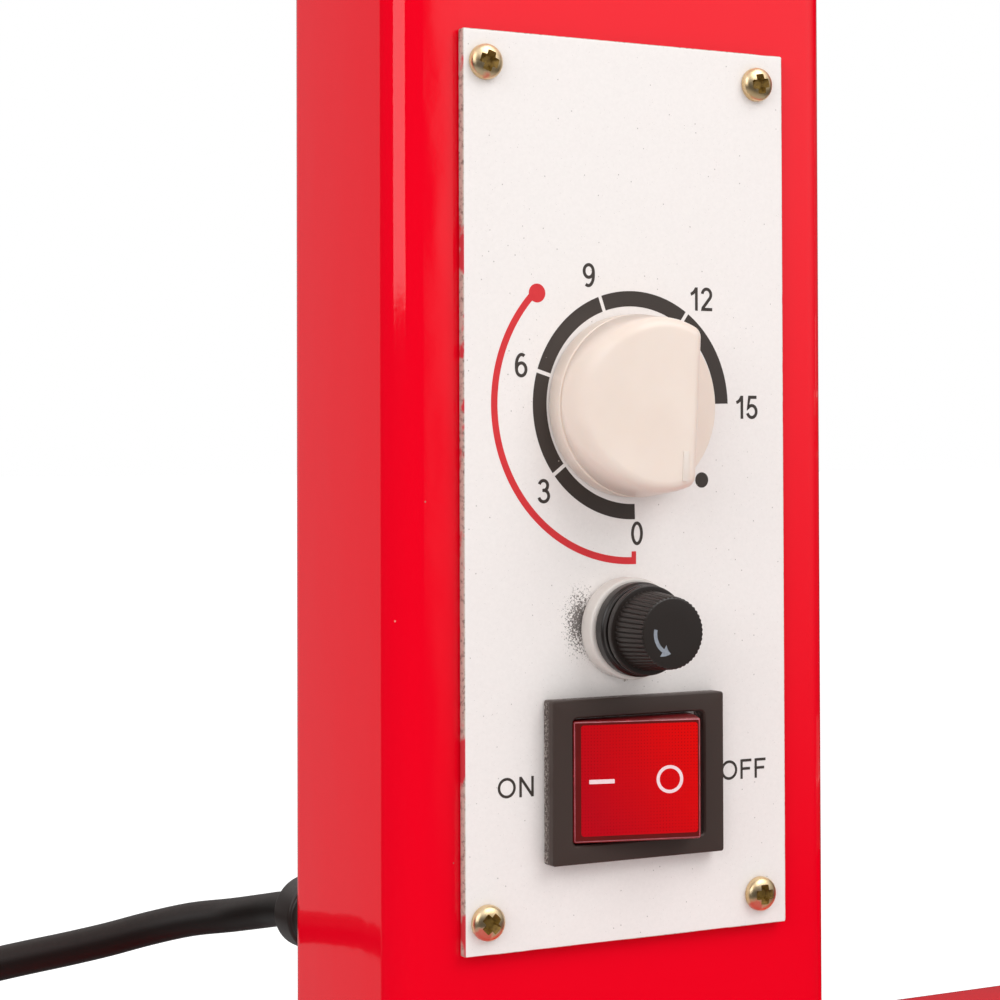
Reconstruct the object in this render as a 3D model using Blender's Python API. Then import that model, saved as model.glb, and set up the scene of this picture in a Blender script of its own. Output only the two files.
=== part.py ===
"""Bench tire vulcanizer: a C-frame of steel tube, a heated platen below and a screw press above.

The control plate is on the wide front face of the column. X runs from the column to the press, -Y is
the front and +Z is up. The origin lies under the middle of the base, on the bench. Lengths are metres.
"""

import math

import bmesh
import bpy
from mathutils import Vector

# Gaps and cutting
SEAT_GAP = 0.0003  # between pieces that rest on each other
RUN_GAP = 0.0003  # round a shaft, a screw or a pin in its hole
OVERRUN = 0.002  # how far a cutting shape runs past the face that it cuts
ROUND_STEPS = 24
SMALL_STEPS = 12
SMALL_HOLE = 0.0045  # radius from which a hole has as many facets as a large round piece
CORNER_STEPS = 3
SMOOTH_ANGLE = math.radians(35)  # flatter edges than this are shaded smooth

# Base plate
BASE_LENGTH = 0.340
BASE_DEPTH = 0.150
BASE_THICKNESS = 0.006
BASE_CORNER = 0.012
BASE_EDGE = 0.0006
BASE_HOLE = 0.009
BASE_HOLE_INSET = 0.018

# Rectangular steel tube of the column and both arms
TUBE_WIDTH = 0.080
TUBE_DEPTH = 0.040
TUBE_WALL = 0.0025
TUBE_CORNER = 0.005
COLUMN_INSET = 0.025  # from the end of the base to the column
THROAT_DEPTH = 0.170  # from the column to the spindle's axis
THROAT_HEIGHT = 0.189  # between the arms
ARM_OVERHANG = 0.045  # from the spindle's axis to the end of the arms
WIRE_HOLE = 0.014
WIRE_WINDOW = 0.026  # square hole from the column into the lower arm

# Plastic caps in the tube ends
CAP_THICKNESS = 0.003
CAP_PLUG = 0.010
CAP_EDGE = 0.0010

# Control plate and its screws
PANEL_HEIGHT = 0.182  # middle of the plate above the bench
PLATE_WIDTH = 0.0584
PLATE_HEIGHT = 0.140
PLATE_THICKNESS = 0.0015
PLATE_CORNER = 0.0006
WINDOW_WIDTH = 0.046  # opening in the column behind the plate
WINDOW_RISE = 0.054
WINDOW_DROP = 0.058
PLATE_SCREW_LEFT = 0.0255
PLATE_SCREW_RIGHT = 0.0240
PLATE_SCREW_RISE = 0.065
PAN_RADIUS = 0.00272
PAN_HEIGHT = 0.0019
SCREW_RADIUS = 0.0015
SCREW_LENGTH = 0.0075

# Clockwork timer and its knob
TIMER_RIGHT = 0.0003  # axis, measured from the plate's middle
TIMER_UP = 0.01295
TIMER_SIDE = 0.042
TIMER_DEPTH = 0.026
TIMER_CORNER = 0.002
TIMER_EDGE = 0.0008
SHAFT_RADIUS = 0.003
SHAFT_IN_TIMER = 0.007
SHAFT_IN_KNOB = 0.0075
TIMER_HOLE = 0.010
TIMER_SCREW_SPACING = 0.021
SUNK_RADIUS = 0.0024
SUNK_DEPTH = 0.0011
TIMER_SCREW_LENGTH = 0.006
KNOB_DISC_RADIUS = 0.0150
KNOB_DISC = 0.0020
KNOB_DISC_EDGE = 0.0005
KNOB_RADIUS = 0.0134
KNOB_HEIGHT = 0.0118  # from the plate to the top
KNOB_FLAT = 0.0066  # from the axis to the flat side
KNOB_CORNER = 0.0022
KNOB_EDGE = 0.0040
KNOB_CLEARANCE = 0.0004

# Fuse holder
FUSE_RIGHT = -0.0019
FUSE_UP = -0.0219
WASHER_RADIUS = 0.00765
WASHER_THICKNESS = 0.0024
FUSE_BARREL = 0.0062
FUSE_FLANGE_RADIUS = 0.0070
FUSE_FLANGE = 0.0022
FUSE_BACK = 0.0300  # from the plate's face to the rear of the barrel
FUSE_MOUTH_RADIUS = 0.0049
FUSE_MOUTH_DEPTH = 0.0050
FUSE_BORE_SLACK = 0.0005
FUSE_NUT_ACROSS = 0.0170
FUSE_NUT_THICKNESS = 0.0040
LINK_RADIUS = 0.0026
LINK_LENGTH = 0.0200
LINK_IN_CAP = 0.0070
FUSE_CAP_RIM_RADIUS = 0.0068
FUSE_CAP_RIM = 0.0014
FUSE_CAP_ROOT_RADIUS = 0.0061
FUSE_CAP_TIP_RADIUS = 0.00545
FUSE_CAP_LENGTH = 0.0094
FUSE_CAP_RIBS = 26
FUSE_RIB_DEPTH = 0.00035
FUSE_STEM_RADIUS = 0.0046
FUSE_STEM_LENGTH = 0.0046

# Rocker switch
SWITCH_RIGHT = -0.0001
SWITCH_UP = -0.04465
BEZEL_WIDTH = 0.0312
BEZEL_HEIGHT = 0.0251
BEZEL_RISE = 0.0030
BEZEL_CORNER = 0.0008
BEZEL_EDGE = 0.0005
SWITCH_WIDTH = 0.0280
SWITCH_HEIGHT = 0.0214
SWITCH_BACK = 0.0260  # from the plate's face to the rear of the housing
POCKET_WIDTH = 0.0238
POCKET_HEIGHT = 0.0189
POCKET_DEPTH = 0.0145  # from the bezel's face
ROCKER_LENGTH = 0.0200
ROCKER_HEIGHT = 0.0179
ROCKER_REACH = 0.0081  # from the pivot to the pressed face
ROCKER_SHOULDER = 0.0110
ROCKER_SHOULDER_RISE = 0.0035
ROCKER_KEEL = 0.0045
ROCKER_KEEL_HALF = 0.0040
ROCKER_TILT = math.radians(14.3)
PIVOT_BELOW = 0.00235  # pivot behind the plate's face
PIVOT_RADIUS = 0.0015
PIVOT_STUB = 0.0013
TAB_WIDTH = 0.0048
TAB_THICKNESS = 0.0008
TAB_LENGTH = 0.0080
TAB_SPACING = 0.0070

# Strain relief of the mains cord, on the column's rear face
GLAND_FROM_EDGE = 0.0112  # axis, from the column's left face
GLAND_BELOW_PLATE = 0.0734  # axis, below the plate's middle
GLAND_RADIUS = 0.0062
GLAND_LENGTH = 0.0190
GLAND_TIP_RADIUS = 0.0050
GLAND_GROOVE = 0.0007
GLAND_BARREL = 0.0048
GLAND_BARREL_LENGTH = 0.0060  # inside the wall
GLAND_NUT_ACROSS = 0.0130
GLAND_NUT_THICKNESS = 0.0040
EARTH_SCREW_OFFSET = 0.024  # from the gland, towards the press
EARTH_HEAD_RADIUS = 0.0038
EARTH_HEAD = 0.0028
EARTH_SHANK_RADIUS = 0.0020
EARTH_SHANK = 0.0060
LEAD_RADIUS = 0.0010
LEAD_REACH_SHARE = 0.3  # of the way between two ends that a lead runs straight out

# Heated lower plate
PLATEN_LENGTH = 0.120
PLATEN_DEPTH = 0.080
PLATEN_THICKNESS = 0.016
PLATEN_CORNER = 0.010
PLATEN_EDGE = 0.0015
ELEMENT_THICKNESS = 0.002
INSULATOR_THICKNESS = 0.012
TRAY_RIM = 0.002  # how far the platen stands out past the tray
TRAY_WALL = 0.0015
HEATER_SCREW_INSET = 0.014  # axis, from the platen's ends
HEATER_SCREW_CLEARANCE = 0.0018  # between a screw's head and the side of the lower arm
HEATER_SCREW_RADIUS = 0.0025
HEATER_HEAD_RADIUS = 0.0042
HEATER_HEAD = 0.0030
HEATER_SCREW_BITE = 0.008  # into the platen
THERMOSTAT_RADIUS = 0.008
THERMOSTAT_HEIGHT = 0.010
THERMOSTAT_POCKET = 0.012

# Screw press
PRESS_TRAVEL = 0.060
PRESS_OPENING = 0.068  # between the platen and the pad at rest
THREAD_RADIUS = 0.010
HEAD_RADIUS = 0.016
HEAD_HEIGHT = 0.028
HEAD_EDGE = 0.0020
HEAD_CLEARANCE = 0.006  # left between head and bush at full travel
BUSH_RADIUS = 0.015
BUSH_FLANGE_RADIUS = 0.021
BUSH_FLANGE = 0.006
BUSH_BELOW = 0.004
PAD_LENGTH = 0.120
PAD_DEPTH = 0.080
PAD_THICKNESS = 0.014
PAD_CORNER = 0.010
PAD_EDGE = 0.0015
BOSS_RADIUS = 0.019
BOSS_HEIGHT = 0.018
TIP_RADIUS = 0.007
TIP_LENGTH = 0.015
PIN_RADIUS = 0.002
PIN_ABOVE_TIP = 0.006
GROOVE_RADIUS = 0.0048
GROOVE_HALF = 0.0025
TOMMY_RADIUS = 0.005
TOMMY_LENGTH = 0.150
BALL_RADIUS = 0.009
BALL_GRIP = 0.010  # length of bar inside a ball
BALL_FLAT_SHARE = 0.62  # of the ball's radius, where its mouth is cut flat

# Mains cord, its coil and its plug
CORD_RADIUS = 0.003
CORD_POINT_GAP = 0.014
COIL_MEAN_RADIUS = 0.033
COIL_TURNS_PER_LAYER = 3
COIL_PITCH = 0.0066  # between neighbouring turns, sideways and upwards
COIL_LOOP_POINTS = 24
COIL_CLIMB_SHARE = 0.25  # of a turn, before and after the middle, in which the coil climbs a layer
COIL_SKIP_DIAMETERS = 6  # nearer points along the cord belong to the same stretch
COIL_X = -0.125
COIL_Y = 0.122
CORD_FLOOR = 0.0031  # height of a cord's axis that lies on the bench
LEAD_OUT = 0.046  # from the coil to the straight end at the plug
TIE_THICKNESS = 0.0012
TIE_WIDTH = 0.008
TIE_ANGLE = math.radians(-90)
TIE_LIFT_SHARE = 0.16  # of a turn that rises over the tie, each way
PLUG_RADIUS = 0.0185
PLUG_LENGTH = 0.036
PLUG_WAIST_RADIUS = 0.0120
PLUG_RELIEF = 0.024
PLUG_RELIEF_RADIUS = 0.0052
PLUG_RELIEF_TIP_RADIUS = 0.0040
PLUG_EDGE = 0.0015
PRONG_RADIUS = 0.0024
PRONG_LENGTH = 0.019
PRONG_SPACING = 0.019
PRONG_SEAT = 0.004

# Route of the free cord, from the gland to the coil, chosen by hand
CORD_ROUTE = (
    (-0.1338, 0.0396, 0.1086), (-0.1338, 0.0436, 0.1085), (-0.1340, 0.0480, 0.1079),
    (-0.1348, 0.0540, 0.1066), (-0.1380, 0.0615, 0.1049), (-0.14375, 0.0667, 0.1038),
    (-0.1505, 0.0702, 0.1022), (-0.1577, 0.0720, 0.1006), (-0.1650, 0.0732, 0.0994),
    (-0.1718, 0.0740, 0.0985), (-0.1790, 0.0749, 0.0974), (-0.1885, 0.0764, 0.0953),
    (-0.2026, 0.0830, 0.0900), (-0.2135, 0.0939, 0.0805), (-0.2201, 0.1080, 0.0670),
    (-0.2216, 0.1195, 0.0550), (-0.2201, 0.1310, 0.0425), (-0.2135, 0.1451, 0.0275),
    (-0.2026, 0.1560, 0.0150), (-0.1885, 0.1626, 0.0068), (-0.1770, 0.1641, 0.0039),
    (-0.1650, 0.1641, 0.0031), (-0.1500, 0.1641, 0.0031), (-0.1380, 0.1641, 0.0031),
    (-0.1316, 0.1641, 0.0031),
)

# Places that follow from the sizes
COLUMN_X = -BASE_LENGTH / 2 + COLUMN_INSET + TUBE_WIDTH / 2
COLUMN_SIDE = COLUMN_X + TUBE_WIDTH / 2
SPINDLE_X = COLUMN_SIDE + THROAT_DEPTH
ARM_START = COLUMN_SIDE + SEAT_GAP
ARM_END = SPINDLE_X + ARM_OVERHANG
FRAME_BOTTOM = BASE_THICKNESS + SEAT_GAP
LOWER_ARM_TOP = FRAME_BOTTOM + TUBE_WIDTH
UPPER_ARM_BOTTOM = LOWER_ARM_TOP + THROAT_HEIGHT
FRAME_TOP = UPPER_ARM_BOTTOM + TUBE_WIDTH
FRONT_WALL = -TUBE_DEPTH / 2
PLATE_FACE = FRONT_WALL - SEAT_GAP - PLATE_THICKNESS
GLAND_X = COLUMN_X - TUBE_WIDTH / 2 + GLAND_FROM_EDGE
GLAND_Z = PANEL_HEIGHT - GLAND_BELOW_PLATE
INNER_REAR = TUBE_DEPTH / 2 - TUBE_WALL

TRAY_BOTTOM = LOWER_ARM_TOP + SEAT_GAP
INSULATOR_BOTTOM = TRAY_BOTTOM + TRAY_WALL + SEAT_GAP
ELEMENT_BOTTOM = INSULATOR_BOTTOM + INSULATOR_THICKNESS + SEAT_GAP
TRAY_TOP = ELEMENT_BOTTOM + ELEMENT_THICKNESS
PLATEN_BOTTOM = TRAY_TOP + SEAT_GAP
PLATEN_TOP = PLATEN_BOTTOM + PLATEN_THICKNESS
PAD_BOTTOM = PLATEN_TOP + PRESS_OPENING
BOSS_TOP = PAD_BOTTOM + PAD_THICKNESS + BOSS_HEIGHT
BUSH_TOP = FRAME_TOP + SEAT_GAP + BUSH_FLANGE
HEAD_BOTTOM = BUSH_TOP + PRESS_TRAVEL + HEAD_CLEARANCE

FACING_FRONT = (math.pi / 2, 0, 0)  # turns a piece's own +Z to the front
FACING_REAR = (-math.pi / 2, 0, 0)
ALONG_X = (0, math.pi / 2, 0)
DOWNWARDS = (math.pi, 0, 0)


def surface(name, colour, roughness, metallic=0.0):
    """A plain material of one colour, given as red, green and blue."""
    material = bpy.data.materials.new(name)
    material.use_nodes = True
    shader = material.node_tree.nodes["Principled BSDF"]
    shader.inputs["Base Color"].default_value = (*colour, 1)
    shader.inputs["Roughness"].default_value = roughness
    shader.inputs["Metallic"].default_value = metallic
    return material


def finish(name, mesh_maker, material, location=(0, 0, 0), rotation=(0, 0, 0)):
    """Turn a bmesh into an object with outward faces and smooth round sides."""
    bmesh.ops.remove_doubles(mesh_maker, verts=mesh_maker.verts, dist=SEAT_GAP / ROUND_STEPS)
    bmesh.ops.recalc_face_normals(mesh_maker, faces=mesh_maker.faces)
    mesh = bpy.data.meshes.new(name)
    mesh_maker.to_mesh(mesh)
    mesh_maker.free()
    piece = bpy.data.objects.new(name, mesh)
    bpy.context.scene.collection.objects.link(piece)
    if material:
        mesh.materials.append(material)
        mesh.shade_smooth()
        mesh.set_sharp_from_angle(angle=SMOOTH_ANGLE)
    piece.location = location
    piece.rotation_euler = rotation
    return piece


def loft(name, rings, material, location=(0, 0, 0), rotation=(0, 0, 0), closed=False):
    """Skin a row of rings with as many points each. A closed row ends where it starts, as round a bore."""
    maker = bmesh.new()
    rows = [[maker.verts.new(point) for point in ring] for ring in rings]
    pairs = list(zip(rows, rows[1:]))
    if closed:
        pairs.append((rows[-1], rows[0]))
    for low, high in pairs:
        for i in range(len(low)):
            j = (i + 1) % len(low)
            maker.faces.new((low[i], low[j], high[j], high[i]))
    if not closed:
        maker.faces.new(rows[0])
        maker.faces.new(rows[-1])
    return finish(name, maker, material, location, rotation)


def circle(radius, height, steps=ROUND_STEPS):
    turn = 2 * math.pi / steps
    return [(radius * math.cos(i * turn), radius * math.sin(i * turn), height) for i in range(steps)]


def turned(name, profile, material, location=(0, 0, 0), rotation=(0, 0, 0), steps=ROUND_STEPS, closed=False):
    """A turned piece about its own Z axis, from a profile of radius and height."""
    rings = [circle(radius, height, steps) for radius, height in profile]
    return loft(name, rings, material, location, rotation, closed)


def rectangle(width, depth, corner, height, inset=0.0):
    """A ring of a rectangle with round corners."""
    half_x = width / 2 - inset
    half_y = depth / 2 - inset
    bend = max(corner - inset, corner / 4)
    ring = []
    for quarter, (side_x, side_y) in enumerate(((1, 1), (-1, 1), (-1, -1), (1, -1))):
        for step in range(CORNER_STEPS + 1):
            angle = (quarter + step / CORNER_STEPS) * math.pi / 2
            x = side_x * (half_x - bend) + bend * math.cos(angle)
            y = side_y * (half_y - bend) + bend * math.sin(angle)
            ring.append((x, y, height))
    return ring


def slab(name, width, depth, height, corner, edge, material, location, rotation=(0, 0, 0)):
    """A block with round corners and, if it has an edge, a small chamfer round its lower and upper faces."""
    rings = [rectangle(width, depth, corner, edge), rectangle(width, depth, corner, height - edge)]
    if edge:
        rings.insert(0, rectangle(width, depth, corner, 0, edge))
        rings.append(rectangle(width, depth, corner, height, edge))
    return loft(name, rings, material, location, rotation)


def steel_tube(name, length, material, location, rotation=(0, 0, 0)):
    """A length of the rectangular tube, open at both ends."""
    inner_width = TUBE_WIDTH - 2 * TUBE_WALL
    inner_depth = TUBE_DEPTH - 2 * TUBE_WALL
    inner_corner = TUBE_CORNER - TUBE_WALL
    rings = [
        rectangle(TUBE_WIDTH, TUBE_DEPTH, TUBE_CORNER, 0),
        rectangle(TUBE_WIDTH, TUBE_DEPTH, TUBE_CORNER, length),
        rectangle(inner_width, inner_depth, inner_corner, length),
        rectangle(inner_width, inner_depth, inner_corner, 0),
    ]
    return loft(name, rings, material, location, rotation, closed=True)


def tube_cap(name, material, location, rotation=(0, 0, 0)):
    """A plastic cap whose plug fills the end of the tube. Its origin is on the tube's end."""
    plug_width = TUBE_WIDTH - 2 * (TUBE_WALL + SEAT_GAP)
    plug_depth = TUBE_DEPTH - 2 * (TUBE_WALL + SEAT_GAP)
    plug_corner = TUBE_CORNER - TUBE_WALL
    rings = [
        rectangle(plug_width, plug_depth, plug_corner, -CAP_PLUG, CAP_EDGE),
        rectangle(plug_width, plug_depth, plug_corner, CAP_EDGE - CAP_PLUG),
        rectangle(plug_width, plug_depth, plug_corner, SEAT_GAP),
        rectangle(TUBE_WIDTH, TUBE_DEPTH, TUBE_CORNER, SEAT_GAP),
        rectangle(TUBE_WIDTH, TUBE_DEPTH, TUBE_CORNER, CAP_THICKNESS - CAP_EDGE),
        rectangle(TUBE_WIDTH, TUBE_DEPTH, TUBE_CORNER, CAP_THICKNESS, CAP_EDGE),
    ]
    return loft(name, rings, material, location, rotation)


def combine(target, tool, operation):
    """Cut a helper shape out of a piece, or join it on."""
    tool.hide_render = True
    tool.display_type = "WIRE"
    modifier = target.modifiers.new(tool.name, "BOOLEAN")
    modifier.operation = operation
    modifier.object = tool


def drill(target, radius, start, length, rotation=(0, 0, 0), mouth=0.0, mouth_depth=0.0):
    """Cut a round hole from a point along the rotated Z axis, with a wider mouth if asked."""
    profile = [(radius, -OVERRUN), (radius, length)]
    if mouth:
        spread = (mouth - radius) * OVERRUN / mouth_depth
        profile = [(mouth + spread, -OVERRUN), (radius, mouth_depth), (radius, length)]
    steps = SMALL_STEPS if radius < SMALL_HOLE else ROUND_STEPS
    tool = turned(f"{target.name}_hole", profile, None, start, rotation, steps)
    combine(target, tool, "DIFFERENCE")


def pocket(target, size, centre):
    """Cut a square-cornered block out of a piece."""
    maker = bmesh.new()
    bmesh.ops.create_cube(maker, size=1)
    bmesh.ops.scale(maker, vec=size, verts=maker.verts)
    tool = finish(f"{target.name}_pocket", maker, None, centre)
    combine(target, tool, "DIFFERENCE")


def panel_point(right, up, out=0.0):
    """A point measured from the middle of the control plate's face."""
    return Vector((COLUMN_X + right, PLATE_FACE - out, PANEL_HEIGHT + up))


def smooth_path(points, gap):
    """Points at an even gap along a smooth curve through the given ones."""
    knots = [Vector(point) for point in points]
    knots = [2 * knots[0] - knots[1]] + knots + [2 * knots[-1] - knots[-2]]
    fine = []
    for before, start, end, after in zip(knots, knots[1:], knots[2:], knots[3:]):
        for step in range(COIL_LOOP_POINTS):
            t = step / COIL_LOOP_POINTS
            pull = end - before
            push = after - start
            bend = 2 * start - 2 * end + pull / 2 + push / 2
            swing = 3 * end - 3 * start - pull - push / 2
            fine.append(start + pull * t / 2 + swing * t**2 + bend * t**3)
    fine.append(knots[-2])
    return even_points(fine, gap)


def even_points(line, gap):
    """The same line with its points about one gap apart."""
    travelled = [0.0]
    for start, end in zip(line, line[1:]):
        travelled.append(travelled[-1] + (end - start).length)
    count = max(2, round(travelled[-1] / gap))
    spaced = []
    place = 0
    for i in range(count + 1):
        goal = travelled[-1] * i / count
        while place < len(line) - 2 and travelled[place + 1] < goal:
            place += 1
        share = (goal - travelled[place]) / (travelled[place + 1] - travelled[place])
        spaced.append(line[place].lerp(line[place + 1], min(max(share, 0), 1)))
    return spaced


def squared(points, leave, arrive, length):
    """The path with a short straight stretch at both ends, so that it meets its seats squarely."""
    first, last = points[0], points[-1]
    clear = 2 * length
    inner = [p for p in points[1:-1] if (p - first).length > clear and (p - last).length > clear]
    return [first, first + leave * length] + inner + [last - arrive * length, last]


def tube_along(name, points, radius, resolution, material):
    """A round cord or wire along its points, with flat filled ends."""
    curve = bpy.data.curves.new(name, "CURVE")
    curve.dimensions = "3D"
    curve.bevel_depth = radius
    curve.bevel_resolution = resolution
    curve.use_fill_caps = True
    spline = curve.splines.new("POLY")
    spline.points.add(len(points) - 1)
    for target, point in zip(spline.points, points):
        target.co = (*point, 1)
    curve.materials.append(material)
    piece = bpy.data.objects.new(name, curve)
    bpy.context.scene.collection.objects.link(piece)
    return piece


def wire(start, leave, end, arrive):
    """An inner lead that leaves one terminal along a direction and arrives at another along one."""
    start, leave, end, arrive = (Vector(v) for v in (start, leave, end, arrive))
    reach = (end - start).length * LEAD_REACH_SHARE
    handles = (start, start + leave * reach, end - arrive * reach, end)
    line = []
    for step in range(SMALL_STEPS + 1):
        t = step / SMALL_STEPS
        weights = ((1 - t) ** 3, 3 * t * (1 - t) ** 2, 3 * t**2 * (1 - t), t**3)
        line.append(sum((handle * weight for handle, weight in zip(handles, weights)), Vector()))
    return line


def least_gap(points, radius):
    """The least clear distance between stretches of a cord that lie some diameters apart along it."""
    spacing = radius / 2
    fine = even_points(points, spacing)
    skip = round(COIL_SKIP_DIAMETERS * 2 * radius / spacing)
    least = min((fine[i] - fine[j]).length for i in range(len(fine)) for j in range(i + skip, len(fine)))
    return least - 2 * radius


def make_frame(enamel, plastic):
    """Base, column, arms and caps."""
    middle = (0, 0, 0)
    base = slab("base_plate", BASE_LENGTH, BASE_DEPTH, BASE_THICKNESS, BASE_CORNER, BASE_EDGE, enamel, middle)
    for side_x in (-1, 1):
        for side_y in (-1, 1):
            x = side_x * (BASE_LENGTH / 2 - BASE_HOLE_INSET)
            y = side_y * (BASE_DEPTH / 2 - BASE_HOLE_INSET)
            drill(base, BASE_HOLE / 2, (x, y, 0), BASE_THICKNESS + OVERRUN)

    column = steel_tube("column", FRAME_TOP - FRAME_BOTTOM, enamel, (COLUMN_X, 0, FRAME_BOTTOM))
    window_height = WINDOW_RISE + WINDOW_DROP
    window_middle = PANEL_HEIGHT + (WINDOW_RISE - WINDOW_DROP) / 2
    wall_cut = TUBE_WALL + 2 * OVERRUN
    window_place = (COLUMN_X, FRONT_WALL + TUBE_WALL / 2, window_middle)
    pocket(column, (WINDOW_WIDTH, wall_cut, window_height), window_place)
    for right, up in plate_screw_places():
        start = panel_point(right, up, -PLATE_THICKNESS)
        drill(column, SCREW_RADIUS + RUN_GAP, start, TUBE_WALL + OVERRUN, FACING_REAR)
    gland_start = (GLAND_X, TUBE_DEPTH / 2, GLAND_Z)
    drill(column, GLAND_BARREL + RUN_GAP, gland_start, TUBE_WALL + OVERRUN, FACING_FRONT)
    earth_start = (GLAND_X + EARTH_SCREW_OFFSET, TUBE_DEPTH / 2, GLAND_Z)
    drill(column, EARTH_SHANK_RADIUS + RUN_GAP, earth_start, TUBE_WALL + OVERRUN, FACING_FRONT)
    pocket(column, (wall_cut, WIRE_WINDOW, WIRE_WINDOW), (COLUMN_SIDE - TUBE_WALL / 2, 0, wire_height()))

    arm_length = ARM_END - ARM_START
    lower_z = FRAME_BOTTOM + TUBE_WIDTH / 2
    upper_z = UPPER_ARM_BOTTOM + TUBE_WIDTH / 2
    lower_arm = steel_tube("lower_arm", arm_length, enamel, (ARM_START, 0, lower_z), ALONG_X)
    drill(lower_arm, WIRE_HOLE / 2, (SPINDLE_X, 0, LOWER_ARM_TOP), TUBE_WALL + OVERRUN, DOWNWARDS)
    upper_arm = steel_tube("upper_arm", arm_length, enamel, (ARM_START, 0, upper_z), ALONG_X)
    drill(upper_arm, BUSH_RADIUS + RUN_GAP, (SPINDLE_X, 0, FRAME_TOP), TUBE_WIDTH + OVERRUN, DOWNWARDS)

    tube_cap("column_cap", plastic, (COLUMN_X, 0, FRAME_TOP))
    tube_cap("lower_arm_cap", plastic, (ARM_END, 0, lower_z), ALONG_X)
    tube_cap("upper_arm_cap", plastic, (ARM_END, 0, upper_z), ALONG_X)


def wire_height():
    """Height of the window through which the heater's lead enters the lower arm."""
    return FRAME_BOTTOM + TUBE_WIDTH / 2


def plate_screw_places():
    heights = (PLATE_SCREW_RISE, -PLATE_SCREW_RISE)
    return [(right, up) for up in heights for right in (-PLATE_SCREW_LEFT, PLATE_SCREW_RIGHT)]


def timer_screw_places():
    return [(TIMER_RIGHT + side * TIMER_SCREW_SPACING / 2, TIMER_UP) for side in (-1, 1)]


def make_plate(white, zinc):
    """Control plate with its openings, and the four screws that hold it."""
    back = panel_point(0, 0, -PLATE_THICKNESS)
    size = (PLATE_WIDTH, PLATE_HEIGHT, PLATE_THICKNESS)
    plate = slab("control_plate", *size, PLATE_CORNER, 0, white, back, FACING_FRONT)
    through = PLATE_THICKNESS + OVERRUN
    drill(plate, TIMER_HOLE / 2, panel_point(TIMER_RIGHT, TIMER_UP), through, FACING_REAR)
    drill(plate, FUSE_BARREL + RUN_GAP, panel_point(FUSE_RIGHT, FUSE_UP), through, FACING_REAR)
    opening = (SWITCH_WIDTH + 2 * RUN_GAP, through + OVERRUN, SWITCH_HEIGHT + 2 * RUN_GAP)
    pocket(plate, opening, panel_point(SWITCH_RIGHT, SWITCH_UP, -PLATE_THICKNESS / 2))
    for right, up in plate_screw_places():
        drill(plate, SCREW_RADIUS + RUN_GAP, panel_point(right, up), through, FACING_REAR)
    for right, up in timer_screw_places():
        mouth = SUNK_RADIUS + RUN_GAP
        drill(plate, SCREW_RADIUS + RUN_GAP, panel_point(right, up), through, FACING_REAR, mouth, SUNK_DEPTH)
    profile = [
        (SCREW_RADIUS, -SCREW_LENGTH),
        (SCREW_RADIUS, SEAT_GAP),
        (PAN_RADIUS, SEAT_GAP),
        (PAN_RADIUS, SEAT_GAP + PAN_HEIGHT / 2),
        (PAN_RADIUS / 2, SEAT_GAP + PAN_HEIGHT),
    ]
    for number, (right, up) in enumerate(plate_screw_places(), 1):
        turned(f"plate_screw_{number}", profile, zinc, panel_point(right, up), FACING_FRONT, SMALL_STEPS)


def knob_outline(height, inset):
    """A round outline with one flat side and softened corners, inset evenly."""
    radius = KNOB_RADIUS - inset
    flat = KNOB_FLAT - inset
    bend = max(KNOB_CORNER - inset, KNOB_CORNER / 4)
    rise = math.sqrt((radius - bend) ** 2 - (flat - bend) ** 2)
    swing = math.atan2(rise, flat - bend)
    ring = []
    for step in range(CORNER_STEPS + 1):
        angle = swing * step / CORNER_STEPS
        ring.append((flat - bend + bend * math.cos(angle), rise + bend * math.sin(angle), height))
    for step in range(1, ROUND_STEPS):
        angle = swing + (2 * math.pi - 2 * swing) * step / ROUND_STEPS
        ring.append((radius * math.cos(angle), radius * math.sin(angle), height))
    for step in range(CORNER_STEPS + 1):
        angle = swing * (step / CORNER_STEPS - 1)
        ring.append((flat - bend + bend * math.cos(angle), -rise + bend * math.sin(angle), height))
    for step in range(1, SMALL_STEPS):
        ring.append((flat, rise * (2 * step / SMALL_STEPS - 1), height))
    return ring


def knob_circle(radius, height):
    """A round ring whose points face those of the knob's outline."""
    ring = []
    for x, y, _ in knob_outline(0, 0):
        angle = math.atan2(y, x)
        ring.append((radius * math.cos(angle), radius * math.sin(angle), height))
    return ring


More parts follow.
